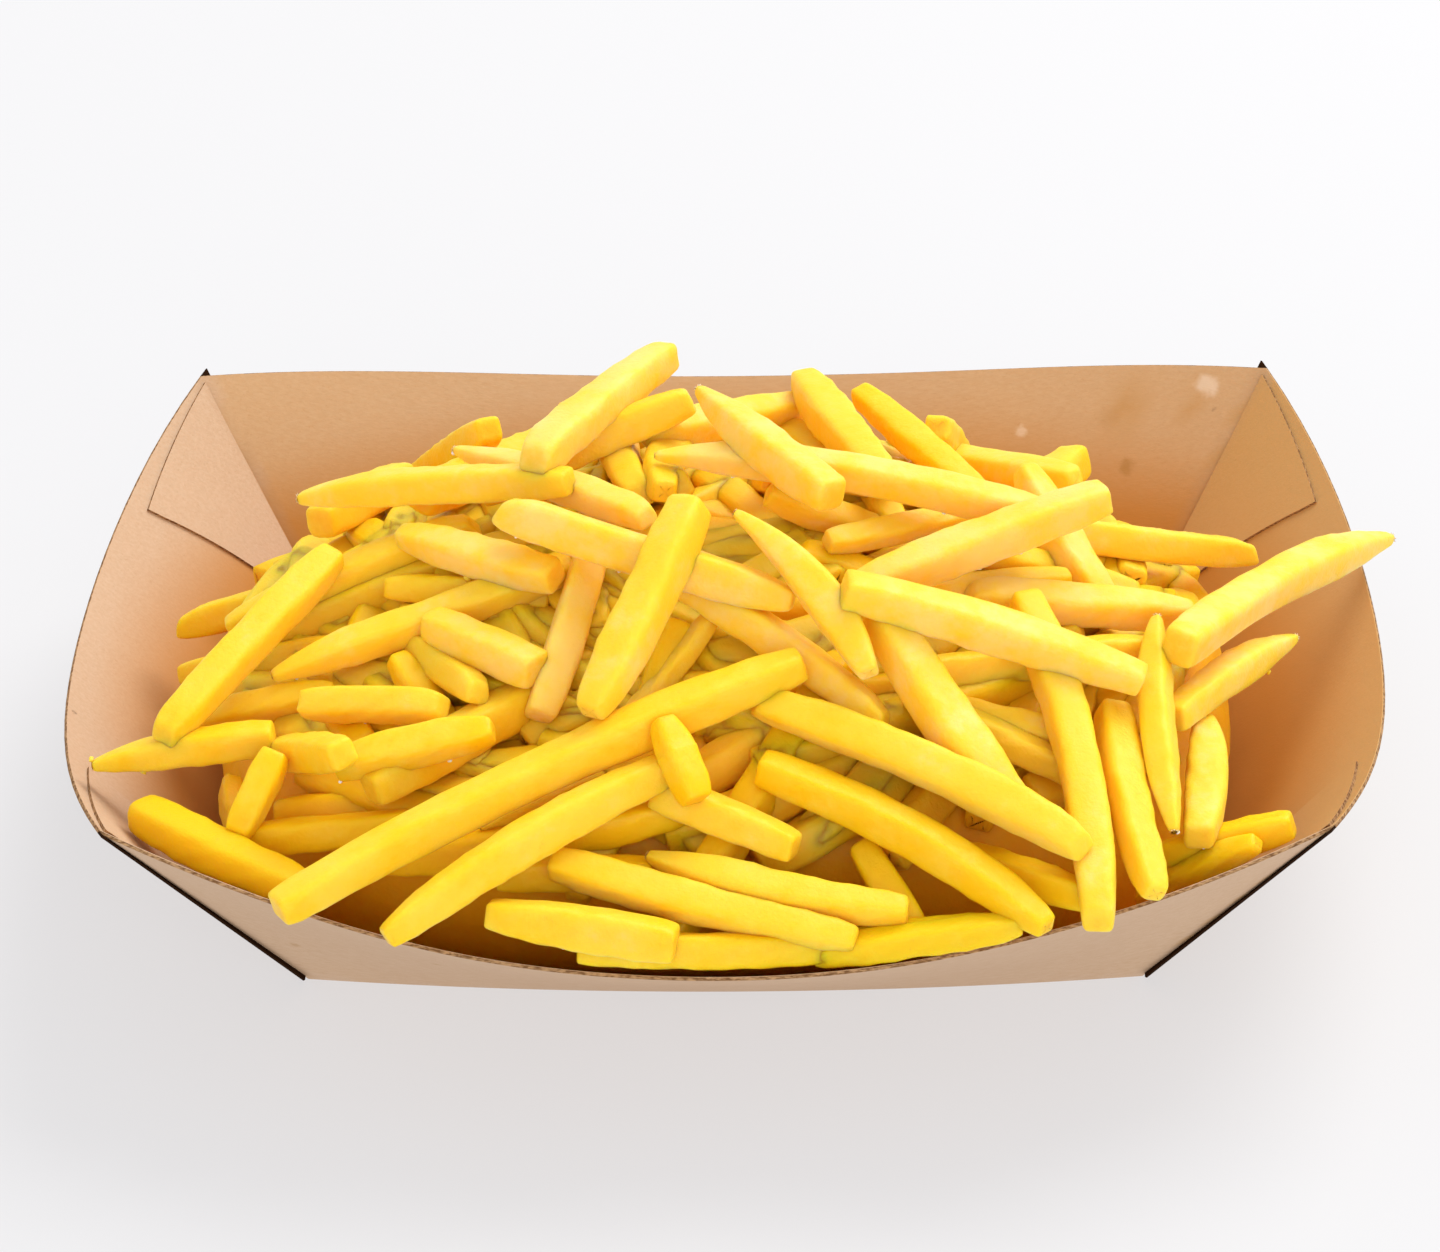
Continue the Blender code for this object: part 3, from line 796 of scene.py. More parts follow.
    def build_sheet(self) -> bpy.types.Object:
        """The folded sheet with its thickness and its softened edges.

        Returns:
            The piece, its second material slot on the cut edges.
        """
        skins = [self._base_sheet()]
        skins += [self._long_wall_sheet(side) for side in (-1, 1)]
        skins += [self._end_wall_sheet(side) for side in (-1, 1)]
        sheet = join_pieces(skins, "tray_sheet")
        choose_only(sheet)
        bpy.ops.object.mode_set(mode="EDIT")
        bpy.ops.mesh.select_all(action="SELECT")
        bpy.ops.mesh.remove_doubles(threshold=self.weld * MM)
        bpy.ops.mesh.normals_make_consistent(inside=False)
        bpy.ops.object.mode_set(mode="OBJECT")
        lowest = min(sheet.data.polygons, key=lambda face: face.center.z)
        if lowest.normal.z > 0:
            sheet.data.flip_normals()
        self._add_finishes(sheet)
        apply_modifier(
            sheet, "Board", "SOLIDIFY", thickness=self.board * MM, offset=-1.0, use_even_offset=True,
            material_offset_rim=1,
        )
        apply_modifier(
            sheet, "Edges", "BEVEL", width=self.edge_round * MM, segments=1, limit_method="ANGLE",
            angle_limit=self.edge_angle,
        )
        # Marks grease and painted shade low on the inner faces.
        mark_points(sheet, "inside", self._grease_and_shade(sheet))
        smooth(sheet, self.smooth_angle)
        return sheet

    def _grease_and_shade(self, item: bpy.types.Object) -> np.ndarray:
        """How far each point lies on an inner face low in the tray, where the fries' fat has soaked in and
        painted shade with yellow bounce light stands for the light among the fries.
        """
        points = mesh_points(item) / MM
        facing = mesh_normals(item)
        outward = facing[:, 0] * np.sign(points[:, 0]) + facing[:, 1] * np.sign(points[:, 1])
        inner = (outward < 0) | (facing[:, 2] > 0.5)
        return inner * np.clip((self.grease_and_shade_height - points[:, 2]) / self.grease_and_shade_fade, 0, 1)

    def _slab(
        self, name: str, side: int, corners: list, inner: float, outer: float, edge: float = 0.0
    ) -> bpy.types.Object:
        """A thin closed slab over a four-cornered patch of an end wall.

        Args:
            name: The piece's name.
            side: -1 at the left end, 1 at the right.
            corners: Four (across, up) places, going round.
            inner: Where its inner face lies over the wall's outside.
            outer: Where its outer face lies over the wall's outside.
            edge: The share of its width that a strip painted in slot shade takes at each side, or 0 for none.

        Returns:
            The slab.
        """
        columns, rows = self.slab_spans
        item, u, v = self._grid(name, columns, rows)
        u, v = (u + 1) / 2, (v + 1) / 2
        self._add_finishes(item)
        if edge:
            for face in item.data.polygons:
                # Painted shade: the strips past the folds take the slot's near-black finish.
                face.material_index = 2 if abs(face.center.x) > 1 - 2 / columns else 0
            u = np.interp(u, (0, 1 / columns, 1 - 1 / columns, 1), (0, edge, 1 - edge, 1))
        weights = np.stack([(1 - u) * (1 - v), u * (1 - v), u * v, (1 - u) * v])
        across, up = (sum(weight * corner[k] for weight, corner in zip(weights, corners)) for k in (0, 1))
        normal = self.outward(self.end_wall, 0, side, across, up)
        place_points(item, (self.end_wall(side, across, up) + normal * inner) * MM)
        self._mark_folds(item, across, self.end_fold_mark)
        mark_evenly(item, warmth=self.end_warmth[side], stain=0.0)
        if sum(face.normal.x * side for face in item.data.polygons) > 0:
            item.data.flip_normals()
        apply_modifier(
            item, "Board", "SOLIDIFY", thickness=(outer - inner) * MM, offset=-1.0, material_offset_rim=1,
        )
        return item

    def build_flaps(self) -> bpy.types.Object:
        """The four corner flaps, glued to the inside of the end walls."""
        places = (self.flap_fold_foot, self.flap_fold_top, self.flap_tip_high, self.flap_tip_low)
        inner = -self.board - self.flap_proud
        slabs = []
        for side in (-1, 1):
            for hand in (-1, 1):
                corners = [(hand * across, up) for across, up in places]
                slabs.append(self._slab("flap", side, corners, inner, -self.board + self.glue_overlap))
        flaps = join_pieces(slabs, "tray_flaps")
        smooth(flaps, self.smooth_angle)
        return flaps

    def build_end_skins(self) -> bpy.types.Object:
        """The outer layer of the end walls, whose cut edges stand just past the folds, their strips past the
        folds painted in slot shade.
        """
        past = 1 + self.edge_past_fold / (self.top_width / 2)
        slot_shade_strip = (past - 1) / (2 * past)
        corners = [(-past, self.skin_foot), (past, self.skin_foot), (past, 1.0), (-past, 1.0)]
        inner, outer = -self.skin_depth, -self.skin_sunk
        slabs = [self._slab("skin", side, corners, inner, outer, slot_shade_strip) for side in (-1, 1)]
        skins = join_pieces(slabs, "tray_end_skins")
        smooth(skins, self.smooth_angle)
        return skins


# The heap


class Fry(NamedTuple):
    """One fry: the plan place of its middle, its heading in degrees, its length, width and sideways bow,
    how far it lies above the heap's even top, how much its far end rises, its arch, and its two ends:
    c cut square, t tapered."""

    x: float
    y: float
    heading: float
    length: float
    width: float
    bow: float = 0.0
    lift: float = 0.0
    rise: float = 0.0
    arch: float = 0.0
    ends: str = "cc"


LOWER_FRIES = (
    # the left end and the front left
    Fry(-88, -17, -25, 36, 7.4, lift=-10),
    Fry(-73, -15, 8, 45, 6.9, lift=-12),
    Fry(-90, -51, -80, 14, 5.5, lift=-3),
    Fry(-72, -69, -6, 38, 6.9, lift=-7),
    Fry(-69, -60, -6, 24, 8.3, lift=2),
    Fry(-88, -73, -34, 41, 8.3, bow=-2, lift=-3),
    Fry(-85, -37, -5, 28, 6.4, lift=-3),
    Fry(-43, -53, 40, 50, 9.2, lift=-5),
    Fry(-52, -37, -58, 34, 6.9, lift=-6),
    # the front, along the rim
    Fry(-2, -98, 2, 44, 6.9, lift=-4),
    Fry(36, -98, -2, 36, 6.4, lift=-3),
    Fry(-25, -81, 0, 28, 6.4, lift=-6),
    Fry(31, -85, -60, 20, 6.9, lift=-5),
    Fry(54, -84, -38, 34, 7.4, lift=-4),
    Fry(37, -95, -6, 34, 5.5, lift=-8),
    Fry(-31, -70, 22, 24, 4.4, lift=-5, ends="tt"),
    # the right end
    Fry(86, -76, -20, 22, 5.6, lift=-5),
    Fry(91, -73, -6, 24, 6.9, lift=-4),
    Fry(79, 5, 14, 48, 7.4, lift=-2),
    Fry(60, -12, 18, 38, 6.4, lift=-4, rise=3),
    Fry(65, -8, -62, 34, 7.9, lift=-7),
    # behind the crest
    Fry(40, 18, -57, 50, 6.9, lift=-11, rise=-12),
    Fry(1, 26, 43, 44, 7.4, lift=-3),
    Fry(23, 2, 2, 40, 6.4),
    Fry(-71, 21, 58, 28, 8.6, lift=-2),
    Fry(-26, 8, 17, 42, 7.8, lift=-7, rise=-8),
    # the middle, in the shade of the top ones
    Fry(35, -12, 28, 34, 5.5, lift=-5),
    Fry(46, -24, 16, 40, 6.4, lift=-6),
    Fry(51, -54, -6, 34, 6.3, lift=-2),
    Fry(54, -60, -14, 32, 6.3, lift=-3),
    Fry(35, -64, -20, 34, 6.9, lift=-3),
    Fry(-8, -46, 51, 26, 4.6, lift=-8),
    Fry(11, -46, -37, 50, 7.5, lift=-4),
    Fry(-70, -12, 12, 48, 7.4, lift=-4),
    Fry(-47, -21, -11, 32, 6.9, lift=-5),
)

MIDDLE_FRIES = (
    # the left half
    Fry(-55, -29, 14, 58, 7.4, lift=-4, ends="tc"),
    Fry(-27, -36, 74, 36, 7.8, lift=-2),
    Fry(-43, -41, -36, 26, 8.3, lift=-7),
    Fry(-63, -49, -16, 28, 7.4, lift=-2),
    Fry(-54, -65, 2, 29, 7.4, rise=-8),
    Fry(-74, -60, -55, 30, 7.5, lift=-2, rise=-16),
    Fry(-98, -52, 2, 34, 7.4, lift=-2, rise=-8, ends="tc"),
    Fry(-83, -66, 60, 14, 6.9, lift=-3),
    # the front, along the rim
    Fry(-2, -92, -15, 56, 7.4),
    Fry(-23, -98, -10, 34, 8.3, lift=-3),
    Fry(11, -88, -15, 48, 7.2, bow=-2, lift=-2, ends="tc"),
    Fry(2, -78, -26, 28, 7.8),
    Fry(-32, -86, 33, 60, 8.3, arch=2),
    # the right half and the back
    Fry(67, -26, 8, 42, 7.7, lift=-1),
    Fry(23, 17, -71, 50, 8.7, lift=-4),
    Fry(-32, -6, -40, 50, 6.9, lift=1, ends="tc"),
    Fry(-54, -5, -17, 56, 7.6, ends="tc"),
    Fry(-23, 10, 62, 50, 8.6, lift=3, rise=4),
    Fry(88, -60, -95, 35, 8.1, lift=-1),
    Fry(95, -32, 56, 46, 7.2, ends="ct"),
    Fry(74, -73, -83, 45, 7.8, lift=2),
    Fry(41, -62, -53, 41, 9.6, lift=5),
)

TOP_FRIES = (
    Fry(24, -10, -9, 73, 7.4, lift=3, arch=2, ends="tc"),
    Fry(8, -8, -54, 43, 8.6, lift=2, ends="tc"),
    Fry(-45, -21, -32, 36, 7.7, lift=-3),
    Fry(-87, -33, 55, 50, 7.9, lift=4),
    Fry(-13, -33, -19, 57, 8.7, lift=3),
    Fry(48, -26, 24, 52, 8.6, lift=2),
    Fry(61, -67, -81, 70, 8.3, bow=4, lift=2),
    Fry(80, -56, -89, 49, 6.9, lift=3, ends="tt"),
    Fry(107, -9, 56, 84, 8.8, bow=3, lift=2, ends="ct"),
    Fry(33, -85, -33, 60, 7.9, bow=4, lift=2),
    Fry(36, -75, -30, 66, 8.3, bow=3, lift=2),
    Fry(-30, -77, 26, 102, 8.6, bow=4, lift=4),
    Fry(-6, -74, -60, 13, 6.9, lift=4),
    Fry(15, -46, -51, 38, 8.0, bow=4, lift=5, ends="tc"),
    Fry(-13, -48, 65, 42, 9.5, lift=4),
    Fry(50, -51, -3, 54, 8.3, bow=2, lift=3),
)


WALL_FIRST_SHARE = 0.4
WALL_ROUNDS = 12


@dataclass
class HeapForm:
    """The heap's even mound and the dish that holds it, as the part's source has them."""

    tray: PaperTray
    top: float = 88.0
    edge: float = 42.0
    edge_drop_behind: float = 22.0
    half_length: float = 118.0
    half_width_front: float = 100.0
    half_width_behind: float = 80.0
    half_width_behind_ends: float = 54.0
    top_layer_depth: float = 5.0
    core_depth: float = 19.0
    end_power: float = 0.8
    side_power: float = 0.95

    def height(self, x: np.ndarray, y: np.ndarray) -> np.ndarray:
        """The height of the heap's even top over plan points."""
        ends = np.clip(1 - (x / self.half_length) ** 2, 0, 1)
        widening = self.half_width_behind - self.half_width_behind_ends
        behind = self.half_width_behind_ends + widening * ends**2
        half_width = np.where(y < 0, self.half_width_front, behind)
        sides = np.clip(1 - (y / half_width) ** 2, 0, 1)
        edge = self.edge - self.edge_drop_behind * np.clip(y / self.half_width_behind, 0, 1)
        return edge + (self.top - edge) * ends**self.end_power * sides**self.side_power

    @staticmethod
    def _wall_height(
        place: np.ndarray, other: np.ndarray, foot_at: float, bow: float, half_base: float, half_top: float,
        lean: float, swell_lean: float, slant: float,
    ) -> np.ndarray:
        """The height at which a wall's inside stands over plan points, by halving steps towards its share."""
        share = np.full_like(place, WALL_FIRST_SHARE)
        for _ in range(WALL_ROUNDS):
            along = np.clip(other / (half_base + (half_top - half_base) * share), 0, 1)
            swell = 1 - along * along
            turned = lean + swell_lean * swell
            foot = foot_at + bow * swell
            share = 0.5 * share + 0.5 * np.clip((place - foot) / (slant * np.sin(turned)), 0, 1)
        return share * slant * np.cos(turned)

    def dish_height(self, x: np.ndarray, y: np.ndarray) -> np.ndarray:
        """The height of the tray's inside over plan points."""
        tray = self.tray
        far_x, far_y = np.abs(x), np.abs(y)
        long_wall = self._wall_height(
            far_y, far_x, tray.base_width / 2 - tray.board, tray.crease_bow, tray.base_length / 2,
            tray.top_length / 2, tray.corner_lean_long, tray.long_wall_mid_lean - tray.corner_lean_long,
            tray.slant_long,
        )
        end_wall = self._wall_height(
            far_x, far_y, tray.base_length / 2 - tray.board - tray.flap_proud, 0.0, tray.base_width / 2,
            tray.top_width / 2, tray.corner_lean_end, tray.end_wall_bulge, tray.slant_end,
        )
        return np.maximum(np.maximum(long_wall, end_wall), tray.board)


SAMPLE_STEP = 4.0
DISH_GAP = 0.3
BALL_SHARE = 0.56
BALL_RINGS = (0.4, 0.7, 0.95)
BALL_DIRECTIONS = 8
CLEARING_ROUNDS = 3


class LaidFry:
    """A fry while it settles: a line over its plan path, with a height at its middle and a slope."""

    def __init__(self, fry: Fry, gives: float, form: HeapForm) -> None:
        """Lays the fry on the heap's even top."""
        self.fry = fry
        self.gives = gives
        self.form = form
        self.radius = fry.width / 2
        self.half = fry.length / 2
        count = max(5, int(fry.length / SAMPLE_STEP) | 1)
        self.run = np.linspace(-1, 1, count) * self.half
        self.x, self.y, self.sag = self.plan(self.run)
        self.floor = self.lowest_heights()
        top = form.height(self.x, self.y) - form.top_layer_depth + fry.lift
        middle = form.height(np.array([float(fry.x)]), np.array([float(fry.y)]))[0]
        self.height = float(middle) - form.top_layer_depth + fry.lift
        self.slope = float(top[-1] - top[0] + fry.rise) / fry.length
        self.home = (self.height, self.slope)

    def plan(self, run: np.ndarray) -> tuple[np.ndarray, np.ndarray, np.ndarray]:
        """The plan place and the arch at each run along the fry."""
        belly = 1 - (run / self.half) ** 2
        turn = math.radians(self.fry.heading)
        side = self.fry.bow * belly
        x = self.fry.x + run * math.cos(turn) - side * math.sin(turn)
        y = self.fry.y + run * math.sin(turn) + side * math.cos(turn)
        return x, y, self.fry.arch * belly

    def line(self, run: np.ndarray) -> np.ndarray:
        """The settled middle line at each run, one row each."""
        x, y, sag = self.plan(run)
        return np.stack([x, y, self.height + self.slope * run + sag], axis=-1)

    def lowest_heights(self) -> np.ndarray:
        """How high the axis must stay over each sample for a ball of the fry's size to clear the dish."""
        ball = BALL_SHARE * self.fry.width + DISH_GAP
        lowest = self.form.dish_height(self.x, self.y) + ball
        for share in BALL_RINGS:
            for k in range(BALL_DIRECTIONS):
                turn = k * 2 * math.pi / BALL_DIRECTIONS
                near_x = self.x + share * ball * math.cos(turn)
                near_y = self.y + share * ball * math.sin(turn)
                near = self.form.dish_height(near_x, near_y) + ball * math.sqrt(1 - share * share)
                lowest = np.maximum(lowest, near)
        return lowest

    def z(self) -> np.ndarray:
        """The heights of the samples."""
        return self.height + self.slope * self.run + self.sag

    def push(self, amount: float, at: float) -> None:
        """Moves the point at this run by the amount up, partly by turning about the middle."""
        turn_share = 3 * at / self.half**2
        eased = amount / (1 + turn_share * at)
        self.height += eased
        self.slope += eased * turn_share

    def clear_dish(self) -> None:
        """Lifts the fry where it would cross the dish."""
        for _ in range(CLEARING_ROUNDS):
            short = self.floor - self.z()
            worst = int(np.argmax(short))
            if short[worst] <= 0:
                return
            self.push(short[worst], self.run[worst])


@dataclass
class Settling:
    """How the fries come to rest on one another, with the evenly spread ones below."""

    form: HeapForm
    squash: float = 0.78
    rounds: int = 60
    push_share: float = 0.7
    home_pull: float = 0.08
    spread_gives: float = 3.0
    spread_seed: int = 7
    under_count: int = 31
    under_depth: float = 11.0
    under_centre: tuple = (-8.0, -16.0)
    under_reach: tuple = (78.0, 62.0)
    behind_count: int = 18
    behind_depth: float = 12.0
    behind_centre: tuple = (0.0, 36.0)
    behind_reach: tuple = (60.0, 26.0)
    spread_lengths: ClassVar[tuple] = (42, 62)
    spread_widths: ClassVar[tuple] = (7.4, 8.8)
    spread_bows: ClassVar[tuple] = (-3, 3)

    @classmethod
    def spread(
        cls, count: int, centre: tuple, reach: tuple, depth: float, draw: random.Random
    ) -> list[Fry]:
        """Fries of drawn headings and sizes spread evenly over an ellipse, along a sunflower spiral."""
        fries = []
        for k in range(count):
            out = math.sqrt((k + 0.5) / count)
            turn = k * math.pi * (3 - math.sqrt(5))
            x = centre[0] + reach[0] * out * math.cos(turn)
            y = centre[1] + reach[1] * out * math.sin(turn)
            heading = draw.uniform(-90, 90)
            length = draw.uniform(*cls.spread_lengths)
            width = draw.uniform(*cls.spread_widths)
            bow = draw.uniform(*cls.spread_bows)
            fries.append(Fry(x, y, heading, length, width, bow=bow, lift=-depth))
        return fries

    def contact_pairs(self, laid: list[LaidFry]) -> list[tuple]:
        """The sample pairs of each two fries that cross in plan, and how far apart in height they belong."""
        pairs = []
        for i, upper in enumerate(laid):
            for lower in laid[:i]:
                reach = (upper.radius + lower.radius) * self.squash
                square = (upper.x[:, None] - lower.x) ** 2 + (upper.y[:, None] - lower.y) ** 2
                above, below = np.nonzero(square < reach * reach)
                if len(above):
                    apart = np.sqrt(reach * reach - square[above, below])
                    pairs.append((upper, lower, above, below, apart))
        return pairs

    def settle(self, laid: list[LaidFry]) -> None:
        """Pushes crossing fries apart, earlier ones down and later ones up, and holds them near home."""
        pairs = self.contact_pairs(laid)
        for _ in range(self.rounds):
            for upper, lower, above, below, apart in pairs:
                overlap = lower.z()[below] + apart - upper.z()[above]
                worst = int(np.argmax(overlap))
                if overlap[worst] <= 0:
                    continue
                share = self.push_share * overlap[worst] / (upper.gives + lower.gives)
                upper.push(share * upper.gives, upper.run[above[worst]])
                lower.push(-share * lower.gives, lower.run[below[worst]])
            for one in laid:
                one.height += self.home_pull * (one.home[0] - one.height)
                one.slope += self.home_pull * (one.home[1] - one.slope)
                one.clear_dish()
        self.drop_to_support(laid, pairs)

    def drop_to_support(self, laid: list[LaidFry], pairs: list[tuple]) -> None:
        """Lowers each fry that hangs free until it touches an earlier one, the core or the dish."""
        for one in laid:
            height = one.z()
            gap = float((height - one.floor).min())
            over_core = height - self.form.height(one.x, one.y) + self.form.core_depth
            gap = min(gap, float(over_core.min()))
            for upper, lower, above, below, apart in pairs:
                if upper is one:
                    gap = min(gap, float((height[above] - lower.z()[below] - apart).min()))
            if gap > 0:
                one.height -= gap
            one.height += max(0.0, float((one.floor - one.z()).max()))

    def lay_all(self) -> list[LaidFry]:
        """Every fry of the heap, settled, with the evenly spread ones first."""
        draw = random.Random(self.spread_seed)
        spread = self.spread(self.under_count, self.under_centre, self.under_reach, self.under_depth, draw)
        spread += self.spread(
            self.behind_count, self.behind_centre, self.behind_reach, self.behind_depth, draw
        )
        laid = [LaidFry(fry, self.spread_gives, self.form) for fry in spread]
        laid += [LaidFry(fry, 1.0, self.form) for fry in LOWER_FRIES + MIDDLE_FRIES + TOP_FRIES]
        self.settle(laid)
        return laid


class EndCut(Enum):
    """How a fry ends."""

    SQUARE = "square"
    SLANTED = "slanted"
    BROKEN = "broken"
    ROUNDED = "rounded"
    TAPERED = "tapered"


@dataclass
class MasterFry:
    """One straight fry, modelled once to be copied: it lies along X, with 1 for its half width."""

    behind: EndCut
    ahead: EndCut
    smoothing: int = 1
    cuts: int = 13
    flat_cuts: int = 1
    half_length: float = 7.0
    corner: float = 0.40
    taper_zone: float = 5.0
    cut_zone: float = 2.0
    taper_sink: float = 0.45
    slant: float = 0.62
    slanted_rings: int = 3
    break_shake: float = 0.22
    break_seed: int = 4
    broken_rings: int = 2
    end_insets: tuple = ((0.13, 0.17), (0.18, 0.08), (0.24, 0.0))
    drawn_in: ClassVar[dict] = {
        EndCut.SQUARE: (0.92, 0.98),
        EndCut.SLANTED: (0.90, 0.97),
        EndCut.BROKEN: (0.84, 0.95),
        EndCut.ROUNDED: (0.70, 0.90, 0.98),
        EndCut.TAPERED: (0.34, 0.56, 0.73, 0.86, 0.95),
    }

    def zone(self, cut: EndCut) -> float:
        """How far an end's own shape reaches, in half widths."""
        return self.taper_zone if cut is EndCut.TAPERED else self.cut_zone

    def build(self) -> bpy.types.Object:
        """Models the fry: a bar with rounded corners, ringed along its length, with its two ends shaped."""
        start_clean()
        bpy.ops.mesh.primitive_cube_add(size=2)
        item = bpy.context.active_object
        item.name = f"master_{self.behind.value}_{self.ahead.value}"
        bpy.ops.object.mode_set(mode="EDIT")
        bpy.ops.mesh.select_all(action="SELECT")
        bpy.ops.transform.resize(value=(self.half_length, 1, 1))
        pick(item, "edges", self._runs_along)
        bpy.ops.mesh.bevel(offset=self.corner, segments=2, profile=0.5)
        pick(item, "edges", self._crosses_flat)
        bpy.ops.mesh.subdivide(number_cuts=self.flat_cuts)
        pick(item, "edges", self._runs_along)
        bpy.ops.mesh.subdivide(number_cuts=self.cuts)
        self._shape_end(item, -1, self.behind)
        self._shape_end(item, 1, self.ahead)
        bpy.ops.object.mode_set(mode="OBJECT")
        if self.smoothing:
            apply_modifier(item, "Smooth", "SUBSURF", levels=self.smoothing, render_levels=self.smoothing)
        return item

    @staticmethod
    def _runs_along(edge: Any) -> bool:
        """Whether an edge runs along the fry."""
        first, second = (vert.co for vert in edge.verts)
        return abs(first.x - second.x) > 0.5 and (first - second).yz.length < 0.01

    @staticmethod
    def _crosses_flat(edge: Any) -> bool:
        """Whether an edge crosses one of the four flat faces."""
        first, second = (vert.co for vert in edge.verts)
        return abs(first.x - second.x) < 0.01 and (first - second).length > 0.9

    def _pick_ring(self, item: bpy.types.Object, side: int, at: float) -> None:
        """Selects the ring of points at a place along the fry."""
        half = self.half_length / (self.cuts + 1)
        pick(item, "verts", lambda vert: abs(vert.co.x * side - at) < half * 0.6)

    def _shape_end(self, item: bpy.types.Object, side: int, cut: EndCut) -> None:
        """Shapes one end.

        Args:
            item: The fry in edit mode.
            side: -1 for the end behind, 1 for the one ahead.
            cut: The end's shape.
        """
        length = self.half_length
        step = 2 * length / (self.cuts + 1)

        def closes_end(face: Any) -> bool:
            """Whether a face is the flat one that closes this end."""
            return face.normal.x * side > 0.9 and face.calc_center_median().x * side > length - 0.1

        for k, factor in enumerate(self.drawn_in[cut]):
            self._pick_ring(item, side, length - k * step)
            bpy.ops.transform.resize(value=(1, factor, factor))
            if cut is EndCut.TAPERED:
                bpy.ops.transform.translate(value=(0, 0, (factor - 1) * self.taper_sink))
        pick(item, "faces", closes_end)
        for thickness, depth in self.end_insets:
            bpy.ops.mesh.inset(thickness=thickness, depth=depth)
        if cut is EndCut.SLANTED:
            self._select_rings(self.slanted_rings)
            pivot = (side * length, 0, 0)
            bpy.ops.transform.rotate(value=side * self.slant, orient_axis="Y", center_override=pivot)
        if cut is EndCut.BROKEN:
            self._select_rings(self.broken_rings)
            bpy.ops.transform.vertex_random(offset=self.break_shake, seed=self.break_seed)

    @staticmethod
    def _select_rings(count: int) -> None:
        """Takes this many more rings of faces into the selection."""
        for _ in range(count):
            bpy.ops.mesh.select_more()


@dataclass
class Grain:
    """A small lump modelled once: a crystal of salt or a crumb of potato."""

    size: float
    ragged: float
    seed: int

    def build(self) -> bpy.types.Object:
        """Models the lump as a cube with its edges taken off and its points shaken."""
        start_clean()
        bpy.ops.mesh.primitive_cube_add(size=self.size * MM)
        item = bpy.context.active_object
        bpy.ops.object.mode_set(mode="EDIT")
        bpy.ops.mesh.select_all(action="SELECT")
        bpy.ops.mesh.bevel(offset=self.size * MM * 0.2, segments=1)
        bpy.ops.mesh.select_all(action="SELECT")
        bpy.ops.transform.vertex_random(offset=self.size * MM * self.ragged, seed=self.seed)
        bpy.ops.object.mode_set(mode="OBJECT")
        return item


